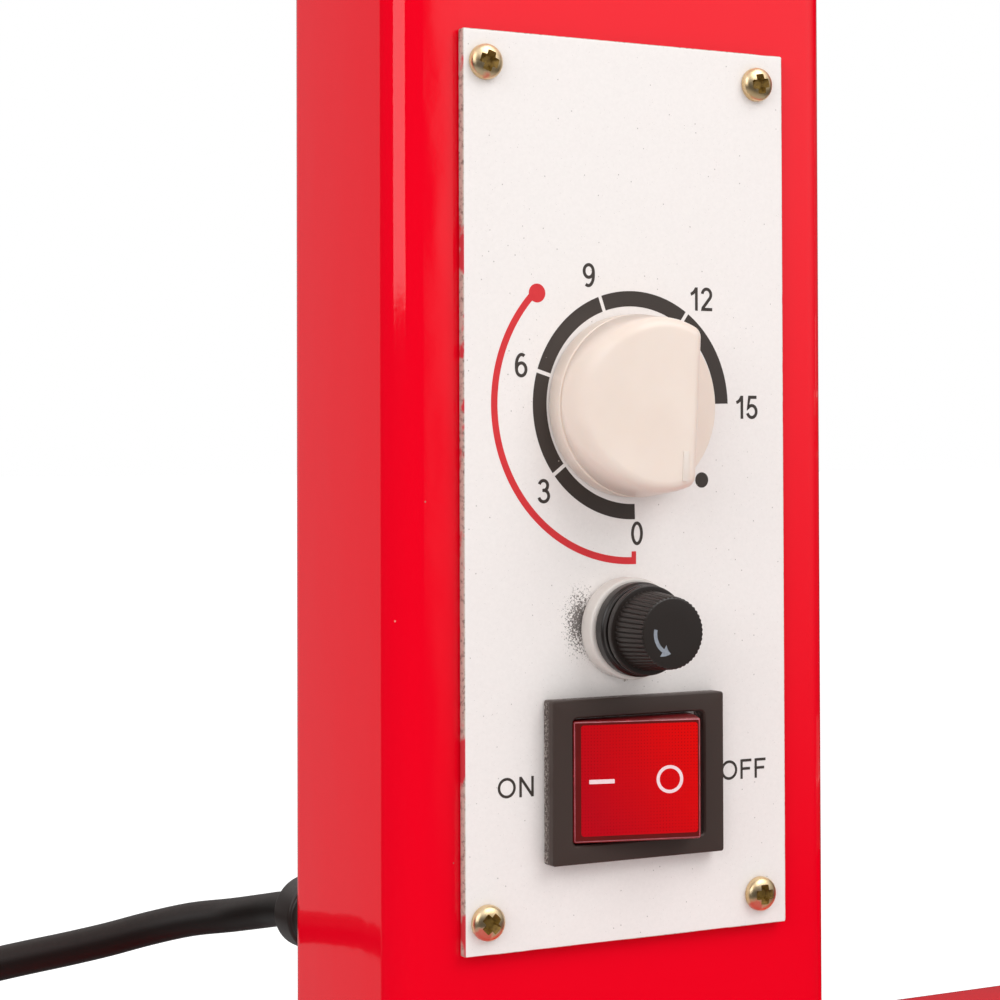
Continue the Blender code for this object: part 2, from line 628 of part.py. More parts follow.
def make_timer(ivory, steel, zinc, can):
    """Clockwork timer behind the plate, its shaft, its two screws and the D-shaped knob."""
    axis = panel_point(TIMER_RIGHT, TIMER_UP)
    front = PLATE_THICKNESS + SEAT_GAP
    rear = panel_point(TIMER_RIGHT, TIMER_UP, -front - TIMER_DEPTH)
    size = (TIMER_SIDE, TIMER_SIDE, TIMER_DEPTH)
    body = slab("timer_body", *size, TIMER_CORNER, TIMER_EDGE, can, rear, FACING_FRONT)
    face = panel_point(TIMER_RIGHT, TIMER_UP, -front)
    drill(body, SHAFT_RADIUS + RUN_GAP, face, SHAFT_IN_TIMER + SEAT_GAP, FACING_REAR)
    for right, up in timer_screw_places():
        drill(body, SCREW_RADIUS + RUN_GAP, panel_point(right, up, -front), TIMER_SCREW_LENGTH, FACING_REAR)
    screw = [
        (SCREW_RADIUS, -TIMER_SCREW_LENGTH),
        (SCREW_RADIUS, -SUNK_DEPTH),
        (SUNK_RADIUS, -RUN_GAP),
    ]
    for number, (right, up) in enumerate(timer_screw_places(), 1):
        turned(f"timer_screw_{number}", screw, zinc, panel_point(right, up), FACING_FRONT, SMALL_STEPS)

    shaft = [(SHAFT_RADIUS, -front - SHAFT_IN_TIMER), (SHAFT_RADIUS, KNOB_CLEARANCE + SHAFT_IN_KNOB)]
    turned("timer_shaft", shaft, steel, axis, FACING_FRONT, SMALL_STEPS)

    bore = SHAFT_RADIUS + RUN_GAP
    bore_end = KNOB_CLEARANCE + SHAFT_IN_KNOB + SEAT_GAP
    disc_top = KNOB_CLEARANCE + KNOB_DISC
    rings = [
        knob_circle(bore, bore_end),
        knob_circle(bore, KNOB_CLEARANCE),
        knob_circle(KNOB_DISC_RADIUS, KNOB_CLEARANCE),
        knob_circle(KNOB_DISC_RADIUS, disc_top - KNOB_DISC_EDGE),
        knob_circle(KNOB_DISC_RADIUS - KNOB_DISC_EDGE, disc_top),
        knob_outline(disc_top, 0),
    ]
    for step in range(CORNER_STEPS + 1):
        angle = math.pi / 2 * step / CORNER_STEPS
        inset = KNOB_EDGE * (1 - math.cos(angle))
        rings.append(knob_outline(KNOB_HEIGHT - KNOB_EDGE * (1 - math.sin(angle)), inset))
    loft("timer_knob", rings, ivory, axis, FACING_FRONT)


def hexagon(across, bore, thickness, name, material, location, rotation):
    """A hexagon nut with a plain bore."""
    steps = 4 * 6
    rings = []
    for height in (0, thickness):
        ring = []
        for i in range(steps):
            angle = 2 * math.pi * i / steps
            off_flat = (angle + math.pi / 6) % (math.pi / 3) - math.pi / 6
            reach = across / 2 / math.cos(off_flat)
            ring.append((reach * math.cos(angle), reach * math.sin(angle), height))
        rings.append(ring)
    rings.append(circle(bore, thickness, steps))
    rings.append(circle(bore, 0, steps))
    return loft(name, rings, material, location, rotation, closed=True)


def ribbed(radius, height, depth):
    """A ring with pointed ribs all round."""
    steps = 2 * FUSE_CAP_RIBS
    ring = []
    for i in range(steps):
        reach = radius if i % 2 else radius - depth
        angle = 2 * math.pi * i / steps
        ring.append((reach * math.cos(angle), reach * math.sin(angle), height))
    return ring


def make_fuse(black, nylon, glass):
    """Panel fuse holder: washer, body, nut, glass link and the ribbed bayonet cap."""
    axis = panel_point(FUSE_RIGHT, FUSE_UP)
    washer_top = SEAT_GAP + WASHER_THICKNESS
    flange_back = washer_top + SEAT_GAP
    flange_top = flange_back + FUSE_FLANGE
    bore = FUSE_BARREL + RUN_GAP
    washer = [(bore, SEAT_GAP), (WASHER_RADIUS, SEAT_GAP), (WASHER_RADIUS, washer_top), (bore, washer_top)]
    turned("fuse_washer", washer, nylon, axis, FACING_FRONT, closed=True)

    link_front = flange_top - FUSE_STEM_LENGTH + LINK_IN_CAP
    link_back = link_front - LINK_LENGTH
    link_bore = LINK_RADIUS + FUSE_BORE_SLACK
    bore_end = link_back - SEAT_GAP
    body = [
        (link_bore, bore_end),
        (link_bore, flange_top - FUSE_MOUTH_DEPTH),
        (FUSE_MOUTH_RADIUS, flange_top - FUSE_MOUTH_DEPTH),
        (FUSE_MOUTH_RADIUS, flange_top),
        (FUSE_FLANGE_RADIUS, flange_top),
        (FUSE_FLANGE_RADIUS, flange_back),
        (FUSE_BARREL, flange_back),
        (FUSE_BARREL, -FUSE_BACK),
    ]
    turned("fuse_body", body, black, axis, FACING_FRONT)
    link = [(LINK_RADIUS, link_back), (LINK_RADIUS, link_front)]
    turned("glass_fuse", link, glass, axis, FACING_FRONT, SMALL_STEPS)
    nut_front = PLATE_THICKNESS + SEAT_GAP
    nut_place = panel_point(FUSE_RIGHT, FUSE_UP, -nut_front - FUSE_NUT_THICKNESS)
    hexagon(FUSE_NUT_ACROSS, bore, FUSE_NUT_THICKNESS, "fuse_nut", black, nut_place, FACING_FRONT)

    cap_back = flange_top + SEAT_GAP
    rim_top = cap_back + FUSE_CAP_RIM
    cap_top = cap_back + FUSE_CAP_LENGTH
    link_hole = LINK_RADIUS + RUN_GAP
    rings = [
        ribbed(link_hole, link_front + SEAT_GAP, 0),
        ribbed(link_hole, flange_top - FUSE_STEM_LENGTH, 0),
        ribbed(FUSE_STEM_RADIUS, flange_top - FUSE_STEM_LENGTH, 0),
        ribbed(FUSE_STEM_RADIUS, cap_back, 0),
        ribbed(FUSE_CAP_RIM_RADIUS, cap_back, 0),
        ribbed(FUSE_CAP_RIM_RADIUS, rim_top, 0),
        ribbed(FUSE_CAP_ROOT_RADIUS, rim_top, FUSE_RIB_DEPTH),
        ribbed(FUSE_CAP_TIP_RADIUS, cap_top - FUSE_RIB_DEPTH, FUSE_RIB_DEPTH),
        ribbed(FUSE_CAP_TIP_RADIUS - FUSE_RIB_DEPTH, cap_top, 0),
    ]
    loft("fuse_cap", rings, black, axis, FACING_FRONT)


def make_switch(black, red, brass):
    """Rocker switch: housing with its bezel, three tabs and the rocker, whose left side is pressed in."""
    rear = panel_point(SWITCH_RIGHT, SWITCH_UP)
    bezel_back = SEAT_GAP
    rings = [
        rectangle(SWITCH_WIDTH, SWITCH_HEIGHT, BEZEL_CORNER, -SWITCH_BACK),
        rectangle(SWITCH_WIDTH, SWITCH_HEIGHT, BEZEL_CORNER, bezel_back),
        rectangle(BEZEL_WIDTH, BEZEL_HEIGHT, BEZEL_CORNER, bezel_back),
        rectangle(BEZEL_WIDTH, BEZEL_HEIGHT, BEZEL_CORNER, BEZEL_RISE - BEZEL_EDGE),
        rectangle(BEZEL_WIDTH, BEZEL_HEIGHT, BEZEL_CORNER, BEZEL_RISE, BEZEL_EDGE),
    ]
    body = loft("switch_body", rings, black, rear, FACING_FRONT)
    depth = POCKET_DEPTH + OVERRUN
    middle = panel_point(SWITCH_RIGHT, SWITCH_UP, BEZEL_RISE + OVERRUN - depth / 2)
    pocket(body, (POCKET_WIDTH, depth, POCKET_HEIGHT), middle)
    pivot = panel_point(SWITCH_RIGHT, SWITCH_UP, -PIVOT_BELOW)
    lowest = pivot - Vector((0, 0, SWITCH_HEIGHT / 2))
    drill(body, PIVOT_RADIUS + RUN_GAP, lowest, SWITCH_HEIGHT + OVERRUN)

    half = ROCKER_LENGTH / 2
    outline = [
        (-half, -ROCKER_REACH),
        (half, -ROCKER_REACH),
        (ROCKER_SHOULDER, -ROCKER_SHOULDER_RISE),
        (ROCKER_SHOULDER, 0),
        (ROCKER_KEEL_HALF, ROCKER_KEEL),
        (-ROCKER_KEEL_HALF, ROCKER_KEEL),
        (-ROCKER_SHOULDER, 0),
        (-ROCKER_SHOULDER, -ROCKER_SHOULDER_RISE),
    ]
    rings = [[(x, y, height) for x, y in outline] for height in (-ROCKER_HEIGHT / 2, ROCKER_HEIGHT / 2)]
    tilt = (0, 0, -ROCKER_TILT)
    rocker = loft("switch_rocker", rings, red, pivot, tilt)
    stub = ROCKER_HEIGHT / 2 + PIVOT_STUB
    pin_profile = [(PIVOT_RADIUS, -stub), (PIVOT_RADIUS, stub)]
    pin = turned("rocker_pivot", pin_profile, None, pivot, steps=SMALL_STEPS)
    combine(rocker, pin, "UNION")

    for number in range(3):
        right = SWITCH_RIGHT + (number - 1) * TAB_SPACING
        place = panel_point(right, SWITCH_UP, -SWITCH_BACK - SEAT_GAP)
        slab(
            f"switch_terminal_{number + 1}", TAB_THICKNESS, TAB_WIDTH, TAB_LENGTH, TAB_THICKNESS / 4, 0,
            brass, place, FACING_REAR,
        )


def make_gland(rubber, black, zinc):
    """Strain relief through the column's rear wall, its nut, and the earth screw beside it."""
    wall = TUBE_DEPTH / 2
    end = SEAT_GAP + GLAND_LENGTH
    step = GLAND_LENGTH / 5
    profile = [
        (GLAND_BARREL, -TUBE_WALL - GLAND_BARREL_LENGTH),
        (GLAND_BARREL, SEAT_GAP),
        (GLAND_RADIUS, SEAT_GAP),
        (GLAND_RADIUS, end - 3 * step),
        (GLAND_RADIUS - GLAND_GROOVE, end - 3 * step),
        (GLAND_RADIUS - GLAND_GROOVE, end - 2 * step),
        (GLAND_RADIUS, end - 2 * step),
        (GLAND_RADIUS, end - step / 2),
        (GLAND_TIP_RADIUS, end),
    ]
    turned("cord_gland", profile, rubber, (GLAND_X, wall, GLAND_Z), FACING_REAR)
    nut_place = (GLAND_X, wall - TUBE_WALL - SEAT_GAP, GLAND_Z)
    bore = GLAND_BARREL + RUN_GAP
    hexagon(GLAND_NUT_ACROSS, bore, GLAND_NUT_THICKNESS, "gland_nut", black, nut_place, FACING_FRONT)
    head = -TUBE_WALL - SEAT_GAP
    screw = [
        (EARTH_HEAD_RADIUS, head - EARTH_HEAD),
        (EARTH_HEAD_RADIUS, head),
        (EARTH_SHANK_RADIUS, head),
        (EARTH_SHANK_RADIUS, head + EARTH_SHANK),
    ]
    place = (GLAND_X + EARTH_SCREW_OFFSET, wall, GLAND_Z)
    turned("earth_screw", screw, zinc, place, FACING_REAR, SMALL_STEPS)


def make_wiring(brown, blue, green):
    """Inner leads, each from one terminal to the next."""
    start_y = INNER_REAR - GLAND_BARREL_LENGTH - SEAT_GAP
    spread = GLAND_BARREL / 2
    front = Vector((0, -1, 0))
    right = Vector((1, 0, 0))
    up = Vector((0, 0, 1))
    off = LEAD_RADIUS + SEAT_GAP

    fuse = panel_point(FUSE_RIGHT, FUSE_UP, -FUSE_BACK + 2 * off)
    tab = panel_point(SWITCH_RIGHT, SWITCH_UP, -SWITCH_BACK - TAB_LENGTH / 2)
    side = Vector((TAB_THICKNESS / 2 + SEAT_GAP, 0, 0))
    spacing = Vector((TAB_SPACING, 0, 0))
    fuse_side = fuse - right * (FUSE_BARREL + SEAT_GAP)
    live = wire((GLAND_X - spread, start_y, GLAND_Z + spread / 2), front, fuse_side, right)
    tube_along("live_lead", live, LEAD_RADIUS, 1, brown)
    neutral_start = (GLAND_X + spread, start_y, GLAND_Z + spread / 2)
    neutral = wire(neutral_start, front, tab - spacing - side, right)
    tube_along("neutral_lead", neutral, LEAD_RADIUS, 1, blue)
    earth_y = INNER_REAR - SEAT_GAP - EARTH_HEAD / 2
    earth_end = (GLAND_X + EARTH_SCREW_OFFSET - EARTH_HEAD_RADIUS - SEAT_GAP, earth_y, GLAND_Z)
    earth = wire((GLAND_X, start_y, GLAND_Z - spread), front, earth_end, right)
    tube_along("earth_lead", earth, LEAD_RADIUS, 1, green)

    above_tab = up * (TAB_WIDTH / 2 + SEAT_GAP)
    fuse_under = fuse - up * (FUSE_BARREL + SEAT_GAP)
    feed = wire(fuse_under, -up, tab + above_tab, -up)
    tube_along("switch_lead", feed, LEAD_RADIUS, 1, brown)
    timer_low = TIMER_UP - TIMER_SIDE / 2 - SEAT_GAP
    timer_under = panel_point(TIMER_RIGHT + TIMER_SIDE / 4, timer_low, -TIMER_DEPTH + off)
    timer = wire(tab + spacing + above_tab, up, timer_under, up)
    tube_along("timer_lead", timer, LEAD_RADIUS, 1, brown)

    timer_corner = panel_point(TIMER_RIGHT + TIMER_SIDE / 2 - TIMER_CORNER, timer_low, -TIMER_DEPTH / 2)
    doorway = Vector((COLUMN_SIDE, 0, wire_height()))
    stat_under = Vector((SPINDLE_X, 0, PLATEN_BOTTOM - SEAT_GAP - THERMOSTAT_HEIGHT - SEAT_GAP))
    down_column = wire(timer_corner, -up, doorway, right)
    along_arm = wire(doorway, right, stat_under, up)
    tube_along("heater_lead", down_column + along_arm[1:], LEAD_RADIUS, 1, brown)


def heater_screw_places():
    x = PLATEN_LENGTH / 2 - HEATER_SCREW_INSET
    y = TUBE_DEPTH / 2 + HEATER_SCREW_CLEARANCE + HEATER_HEAD_RADIUS
    return [(SPINDLE_X + side_x * x, side_y * y) for side_x in (-1, 1) for side_y in (-1, 1)]


def make_heater(aluminium, enamel, mica, board, zinc, can):
    """Heated lower plate: tray, insulating board, mica element, platen, four screws and thermostat."""
    tray_length = PLATEN_LENGTH - 2 * TRAY_RIM
    tray_depth = PLATEN_DEPTH - 2 * TRAY_RIM
    tray_corner = PLATEN_CORNER - TRAY_RIM
    inner_length = tray_length - 2 * TRAY_WALL
    inner_depth = tray_depth - 2 * TRAY_WALL
    inner_corner = tray_corner - TRAY_WALL
    rings = [
        rectangle(tray_length, tray_depth, tray_corner, 0),
        rectangle(tray_length, tray_depth, tray_corner, TRAY_TOP - TRAY_BOTTOM),
        rectangle(inner_length, inner_depth, inner_corner, TRAY_TOP - TRAY_BOTTOM),
        rectangle(inner_length, inner_depth, inner_corner, TRAY_WALL),
    ]
    tray = loft("heater_tray", rings, enamel, (SPINDLE_X, 0, TRAY_BOTTOM))
    drill(tray, WIRE_HOLE / 2, (SPINDLE_X, 0, TRAY_BOTTOM), TRAY_WALL + OVERRUN)

    fit_length = inner_length - 2 * SEAT_GAP
    fit_depth = inner_depth - 2 * SEAT_GAP
    fit_corner = inner_corner - SEAT_GAP
    layers = (
        ("heater_insulator", INSULATOR_BOTTOM, INSULATOR_THICKNESS, board),
        ("heater_element", ELEMENT_BOTTOM, ELEMENT_THICKNESS, mica),
    )
    cut_pieces = [(tray, TRAY_BOTTOM, TRAY_WALL + OVERRUN)]
    for name, bottom, thickness, material in layers:
        place = (SPINDLE_X, 0, bottom)
        layer = slab(name, fit_length, fit_depth, thickness, fit_corner, 0, material, place)
        drill(layer, THERMOSTAT_POCKET, (SPINDLE_X, 0, bottom), thickness + OVERRUN)
        cut_pieces.append((layer, bottom, thickness + OVERRUN))
    size = (PLATEN_LENGTH, PLATEN_DEPTH, PLATEN_THICKNESS)
    place = (SPINDLE_X, 0, PLATEN_BOTTOM)
    platen = slab("heater_platen", *size, PLATEN_CORNER, PLATEN_EDGE, aluminium, place)
    cut_pieces.append((platen, PLATEN_BOTTOM, HEATER_SCREW_BITE + RUN_GAP))
    for x, y in heater_screw_places():
        for piece, bottom, depth in cut_pieces:
            drill(piece, HEATER_SCREW_RADIUS + RUN_GAP, (x, y, bottom), depth)

    head_top = -SEAT_GAP
    shank = PLATEN_BOTTOM + HEATER_SCREW_BITE - TRAY_BOTTOM
    screw = [
        (HEATER_HEAD_RADIUS, head_top - HEATER_HEAD),
        (HEATER_HEAD_RADIUS, head_top),
        (HEATER_SCREW_RADIUS, head_top),
        (HEATER_SCREW_RADIUS, shank),
    ]
    for number, (x, y) in enumerate(heater_screw_places(), 1):
        turned(f"heater_screw_{number}", screw, zinc, (x, y, TRAY_BOTTOM), steps=SMALL_STEPS)
    stat_top = PLATEN_BOTTOM - SEAT_GAP
    profile = [(THERMOSTAT_RADIUS, -THERMOSTAT_HEIGHT), (THERMOSTAT_RADIUS, 0)]
    turned("thermostat", profile, can, (SPINDLE_X, 0, stat_top), steps=SMALL_STEPS)


def make_press(steel, aluminium, bright, ball):
    """Bush, spindle with its head, tommy bar with two balls, and the pad that hangs on the spindle's tip."""
    bore = THREAD_RADIUS + RUN_GAP
    bush_bottom = UPPER_ARM_BOTTOM - BUSH_BELOW
    bush = [
        (bore, bush_bottom),
        (BUSH_RADIUS, bush_bottom),
        (BUSH_RADIUS, FRAME_TOP + SEAT_GAP),
        (BUSH_FLANGE_RADIUS, FRAME_TOP + SEAT_GAP),
        (BUSH_FLANGE_RADIUS, BUSH_TOP),
        (bore, BUSH_TOP),
    ]
    turned("spindle_bush", bush, steel, (SPINDLE_X, 0, 0), closed=True)

    shoulder = BOSS_TOP + SEAT_GAP
    tip = shoulder - TIP_LENGTH
    pin_z = tip + PIN_ABOVE_TIP
    head_top = HEAD_BOTTOM + HEAD_HEIGHT
    spindle_profile = [
        (TIP_RADIUS, tip),
        (TIP_RADIUS, pin_z - GROOVE_HALF),
        (GROOVE_RADIUS, pin_z - GROOVE_HALF),
        (GROOVE_RADIUS, pin_z + GROOVE_HALF),
        (TIP_RADIUS, pin_z + GROOVE_HALF),
        (TIP_RADIUS, shoulder),
        (THREAD_RADIUS, shoulder),
        (THREAD_RADIUS, HEAD_BOTTOM),
        (HEAD_RADIUS - HEAD_EDGE, HEAD_BOTTOM),
        (HEAD_RADIUS, HEAD_BOTTOM + HEAD_EDGE),
        (HEAD_RADIUS, head_top - HEAD_EDGE),
        (HEAD_RADIUS - HEAD_EDGE, head_top),
    ]
    spindle = turned("press_spindle", spindle_profile, bright, (SPINDLE_X, 0, 0))
    bar_z = HEAD_BOTTOM + HEAD_HEIGHT / 2
    bar_hole = (SPINDLE_X, HEAD_RADIUS, bar_z)
    drill(spindle, TOMMY_RADIUS + RUN_GAP, bar_hole, 2 * HEAD_RADIUS + OVERRUN, FACING_FRONT)
    half = TOMMY_LENGTH / 2
    bar_place = (SPINDLE_X, 0, bar_z)
    turned("tommy_bar", [(TOMMY_RADIUS, -half), (TOMMY_RADIUS, half)], bright, bar_place, FACING_FRONT)
    mouth = BALL_FLAT_SHARE * BALL_RADIUS
    ball_middle = half - BALL_GRIP + math.sqrt(BALL_RADIUS**2 - mouth**2)
    for number, side in enumerate((FACING_FRONT, FACING_REAR), 1):
        profile = [(TOMMY_RADIUS + RUN_GAP, half + SEAT_GAP), (TOMMY_RADIUS + RUN_GAP, half - BALL_GRIP)]
        open_angle = math.asin(BALL_FLAT_SHARE)
        for step in range(2 * CORNER_STEPS):
            angle = open_angle + (math.pi - open_angle) * step / (2 * CORNER_STEPS)
            profile.append((BALL_RADIUS * math.sin(angle), ball_middle - BALL_RADIUS * math.cos(angle)))
        turned(f"tommy_ball_{number}", profile, ball, bar_place, side, SMALL_STEPS)

    size = (PAD_LENGTH, PAD_DEPTH, PAD_THICKNESS)
    place = (SPINDLE_X, 0, PAD_BOTTOM)
    pad = slab("press_pad", *size, PAD_CORNER, PAD_EDGE, aluminium, place)
    boss_bottom = PAD_BOTTOM + PAD_THICKNESS / 2
    boss = turned("pad_boss", [(BOSS_RADIUS, boss_bottom), (BOSS_RADIUS, BOSS_TOP)], None, (SPINDLE_X, 0, 0))
    combine(pad, boss, "UNION")
    drill(pad, TIP_RADIUS + RUN_GAP, (SPINDLE_X, 0, BOSS_TOP), TIP_LENGTH, DOWNWARDS)
    pin_x = SPINDLE_X + GROOVE_RADIUS + RUN_GAP + PIN_RADIUS
    pin_start = (pin_x, BOSS_RADIUS, pin_z)
    drill(pad, PIN_RADIUS + RUN_GAP, pin_start, 2 * BOSS_RADIUS + OVERRUN, FACING_FRONT)
    half_pin = math.sqrt(BOSS_RADIUS**2 - (pin_x - SPINDLE_X) ** 2)
    pin = [(PIN_RADIUS, -half_pin), (PIN_RADIUS, half_pin)]
    turned("pad_pin", pin, steel, (pin_x, 0, pin_z), FACING_FRONT, SMALL_STEPS)


def coil_path():
    """The coil, clockwise from above: inwards on the bench, up a layer, outwards again, out to the plug."""
    half_turns = COIL_TURNS_PER_LAYER - COIL_CLIMB_SHARE
    spread = half_turns * COIL_PITCH
    outer = COIL_MEAN_RADIUS + spread / 2
    turns = 2 * COIL_TURNS_PER_LAYER
    line = []
    start = Vector((COIL_X, COIL_Y + outer, CORD_FLOOR))
    line.append(start - Vector((2 * CORD_RADIUS, 0, 0)))
    count = turns * COIL_LOOP_POINTS
    for i in range(count + 1):
        turn = i / COIL_LOOP_POINTS
        inward = min(turn, turns - turn)
        climb = min(max((turn - half_turns) / (turns - 2 * half_turns), 0), 1)
        angle = math.pi / 2 - 2 * math.pi * turn
        radius = outer - inward * COIL_PITCH
        height = CORD_FLOOR + COIL_PITCH * climb + tie_lift(angle)
        line.append(Vector((COIL_X + radius * math.cos(angle), COIL_Y + radius * math.sin(angle), height)))
    top = CORD_FLOOR + COIL_PITCH
    steps = COIL_LOOP_POINTS // 4
    for step in range(1, steps + 1):
        share = step / steps
        rise = (plug_height() - top) * share * share * (3 - 2 * share)
        line.append(Vector((COIL_X + LEAD_OUT * share, COIL_Y + outer, top + rise)))
    line.append(Vector((COIL_X + LEAD_OUT + 2 * CORD_RADIUS, COIL_Y + outer, plug_height())))
    return line


def tie_lift(angle):
    """How far the turns rise where they pass over the tie."""
    away = abs((angle - TIE_ANGLE + math.pi) % (2 * math.pi) - math.pi) / (2 * math.pi)
    share = max(0, 1 - away / TIE_LIFT_SHARE)
    return (TIE_THICKNESS + SEAT_GAP) * share * share * (3 - 2 * share)


def plug_height():
    """Height of the plug's axis when it lies on the bench."""
    return PLUG_RADIUS + SEAT_GAP


def make_tie(fabric):
    """A strap round the turns of the coil."""
    turns = COIL_TURNS_PER_LAYER - COIL_CLIMB_SHARE
    outer = COIL_MEAN_RADIUS + turns * COIL_PITCH / 2
    highest = outer - COIL_PITCH / 2 + CORD_RADIUS + 2 * SEAT_GAP
    lowest = outer - COIL_TURNS_PER_LAYER * COIL_PITCH - CORD_RADIUS - SEAT_GAP
    width = highest - lowest
    height = 2 * CORD_RADIUS + COIL_PITCH + 2 * SEAT_GAP
    middle = (highest + lowest) / 2
    rings = []
    for side, grow in ((-1, TIE_THICKNESS), (1, TIE_THICKNESS), (1, 0), (-1, 0)):
        ring = rectangle(width + 2 * grow, height + 2 * grow, CORD_RADIUS + grow, side * TIE_WIDTH / 2)
        rings.append(ring)
    place = (COIL_X, COIL_Y - middle, TIE_THICKNESS + height / 2)
    loft("cord_tie", rings, fabric, place, (math.pi / 2, 0, math.pi / 2), closed=True)


def make_plug(moulded, nickel, plug_end):
    """Round two-pin plug with its moulded strain relief, lying on the bench from the cord's end."""
    start = plug_end + Vector((SEAT_GAP, 0, 0))
    body_start = PLUG_RELIEF
    body_end = PLUG_RELIEF + PLUG_LENGTH
    profile = [
        (PLUG_RELIEF_TIP_RADIUS, 0),
        (PLUG_RELIEF_RADIUS, PLUG_RELIEF),
        (PLUG_WAIST_RADIUS, body_start + PLUG_LENGTH / 8),
        (PLUG_WAIST_RADIUS, body_start + PLUG_LENGTH / 3),
        (PLUG_RADIUS - PLUG_EDGE, body_start + PLUG_LENGTH / 2),
        (PLUG_RADIUS, body_start + PLUG_LENGTH / 2 + PLUG_EDGE),
        (PLUG_RADIUS, body_end - PLUG_EDGE),
        (PLUG_RADIUS - PLUG_EDGE, body_end),
    ]
    body = turned("plug_body", profile, moulded, start, ALONG_X)
    for number, side in enumerate((-1, 1), 1):
        seat = start + Vector((body_end - PRONG_SEAT, side * PRONG_SPACING / 2, 0))
        drill(body, PRONG_RADIUS + RUN_GAP, seat, PRONG_SEAT + OVERRUN, ALONG_X)
        pin = [
            (PRONG_RADIUS, SEAT_GAP),
            (PRONG_RADIUS, PRONG_SEAT + PRONG_LENGTH - PRONG_RADIUS / 2),
            (PRONG_RADIUS / 2, PRONG_SEAT + PRONG_LENGTH),
        ]
        turned(f"plug_pin_{number}", pin, nickel, seat, ALONG_X, SMALL_STEPS)


def make_cord(rubber, fabric, nickel):
    """The free cord, the coil with its tie, and the plug."""
    route = smooth_path(CORD_ROUTE, CORD_POINT_GAP)
    route = squared(route, Vector((0, 1, 0)), Vector((1, 0, 0)), CORD_RADIUS)
    tube_along("power_cord", route, CORD_RADIUS, 2, rubber)
    coil = coil_path()
    print("least gap of the coil to itself, mm", round(1000 * least_gap(coil, CORD_RADIUS), 2))
    total = sum((b - a).length for line in (route, coil) for a, b in zip(line, line[1:]))
    print("length of the cord, m", round(total, 3))
    tube_along("cord_coil", coil, CORD_RADIUS, 1, rubber)
    make_tie(fabric)
    make_plug(rubber, nickel, coil[-1])


def main():
    for leftover in list(bpy.data.objects):
        bpy.data.objects.remove(leftover, do_unlink=True)
    enamel = surface("red enamel", (0.80, 0.02, 0.02), 0.2)
    cap_plastic = surface("black tube cap", (0.02, 0.02, 0.02), 0.5)
    white = surface("white plate", (0.85, 0.83, 0.80), 0.4)
    zinc = surface("yellow zinc", (0.50, 0.38, 0.16), 0.35, 1.0)
    ivory = surface("ivory knob", (0.82, 0.74, 0.66), 0.3)
    black = surface("black nylon", (0.04, 0.03, 0.03), 0.4)
    nylon = surface("white nylon", (0.70, 0.72, 0.70), 0.4)
    red = surface("red polycarbonate", (0.70, 0.00, 0.01), 0.15)
    brass = surface("brass", (0.60, 0.45, 0.20), 0.3, 1.0)
    glass = surface("fuse glass", (0.70, 0.75, 0.75), 0.1)
    rubber = surface("black rubber", (0.02, 0.015, 0.012), 0.5)
    steel = surface("turned steel", (0.35, 0.35, 0.36), 0.35, 1.0)
    bright = surface("bright steel", (0.60, 0.60, 0.62), 0.25, 1.0)
    can = surface("zinc-plated can", (0.55, 0.56, 0.58), 0.4, 1.0)
    aluminium = surface("machined aluminium", (0.70, 0.71, 0.72), 0.3, 1.0)
    mica = surface("mica", (0.45, 0.38, 0.25), 0.6)
    board = surface("fibre board", (0.62, 0.58, 0.50), 0.9)
    brown = surface("brown silicone wire", (0.20, 0.08, 0.04), 0.5)
    blue = surface("blue silicone wire", (0.04, 0.10, 0.40), 0.5)
    green = surface("green silicone wire", (0.10, 0.35, 0.08), 0.5)
    fabric = surface("tie fabric", (0.02, 0.02, 0.02), 0.9)
    nickel = surface("nickel plate", (0.65, 0.63, 0.58), 0.25, 1.0)

    make_frame(enamel, cap_plastic)
    make_plate(white, zinc)
    make_timer(ivory, steel, zinc, can)
    make_fuse(black, nylon, glass)
    make_switch(black, red, brass)
    make_gland(rubber, black, zinc)
    make_wiring(brown, blue, green)
    make_heater(aluminium, enamel, mica, board, zinc, can)
    make_press(steel, aluminium, bright, cap_plastic)
    make_cord(rubber, fabric, nickel)


main()
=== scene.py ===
# %% [markdown]
# A bench vulcanizer presses a patch onto a tyre and bakes it. The machine is a C-shaped frame of red
# enamelled steel tube. The control plate sits on the wide face of its column, a screw press hangs in
# the upper arm and a heated plate lies on the lower one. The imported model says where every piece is,
# so each cell here takes its places from that model and only adds what the eye sees.

# %% Load the model
import math
import random

import bmesh
import bpy
from mathutils import Euler, Matrix, Vector


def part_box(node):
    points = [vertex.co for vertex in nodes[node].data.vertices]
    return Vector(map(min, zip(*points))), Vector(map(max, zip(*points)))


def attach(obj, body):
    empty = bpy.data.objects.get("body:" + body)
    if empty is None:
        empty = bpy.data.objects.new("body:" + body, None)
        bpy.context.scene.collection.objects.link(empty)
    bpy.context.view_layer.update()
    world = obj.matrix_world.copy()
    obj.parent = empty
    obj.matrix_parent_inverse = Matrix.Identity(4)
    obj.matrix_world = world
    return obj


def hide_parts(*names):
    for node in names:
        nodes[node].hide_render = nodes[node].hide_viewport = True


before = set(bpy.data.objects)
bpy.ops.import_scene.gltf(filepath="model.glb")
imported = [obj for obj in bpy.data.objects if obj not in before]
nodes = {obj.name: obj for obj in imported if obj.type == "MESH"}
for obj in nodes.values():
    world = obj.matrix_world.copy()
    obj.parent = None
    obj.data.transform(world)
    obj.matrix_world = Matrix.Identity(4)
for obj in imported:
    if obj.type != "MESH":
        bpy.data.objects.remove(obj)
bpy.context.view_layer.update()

MM = 0.001


def in_mm(*sizes):
    """Sizes given in millimetres, as metres."""
    return [size * MM for size in sizes]


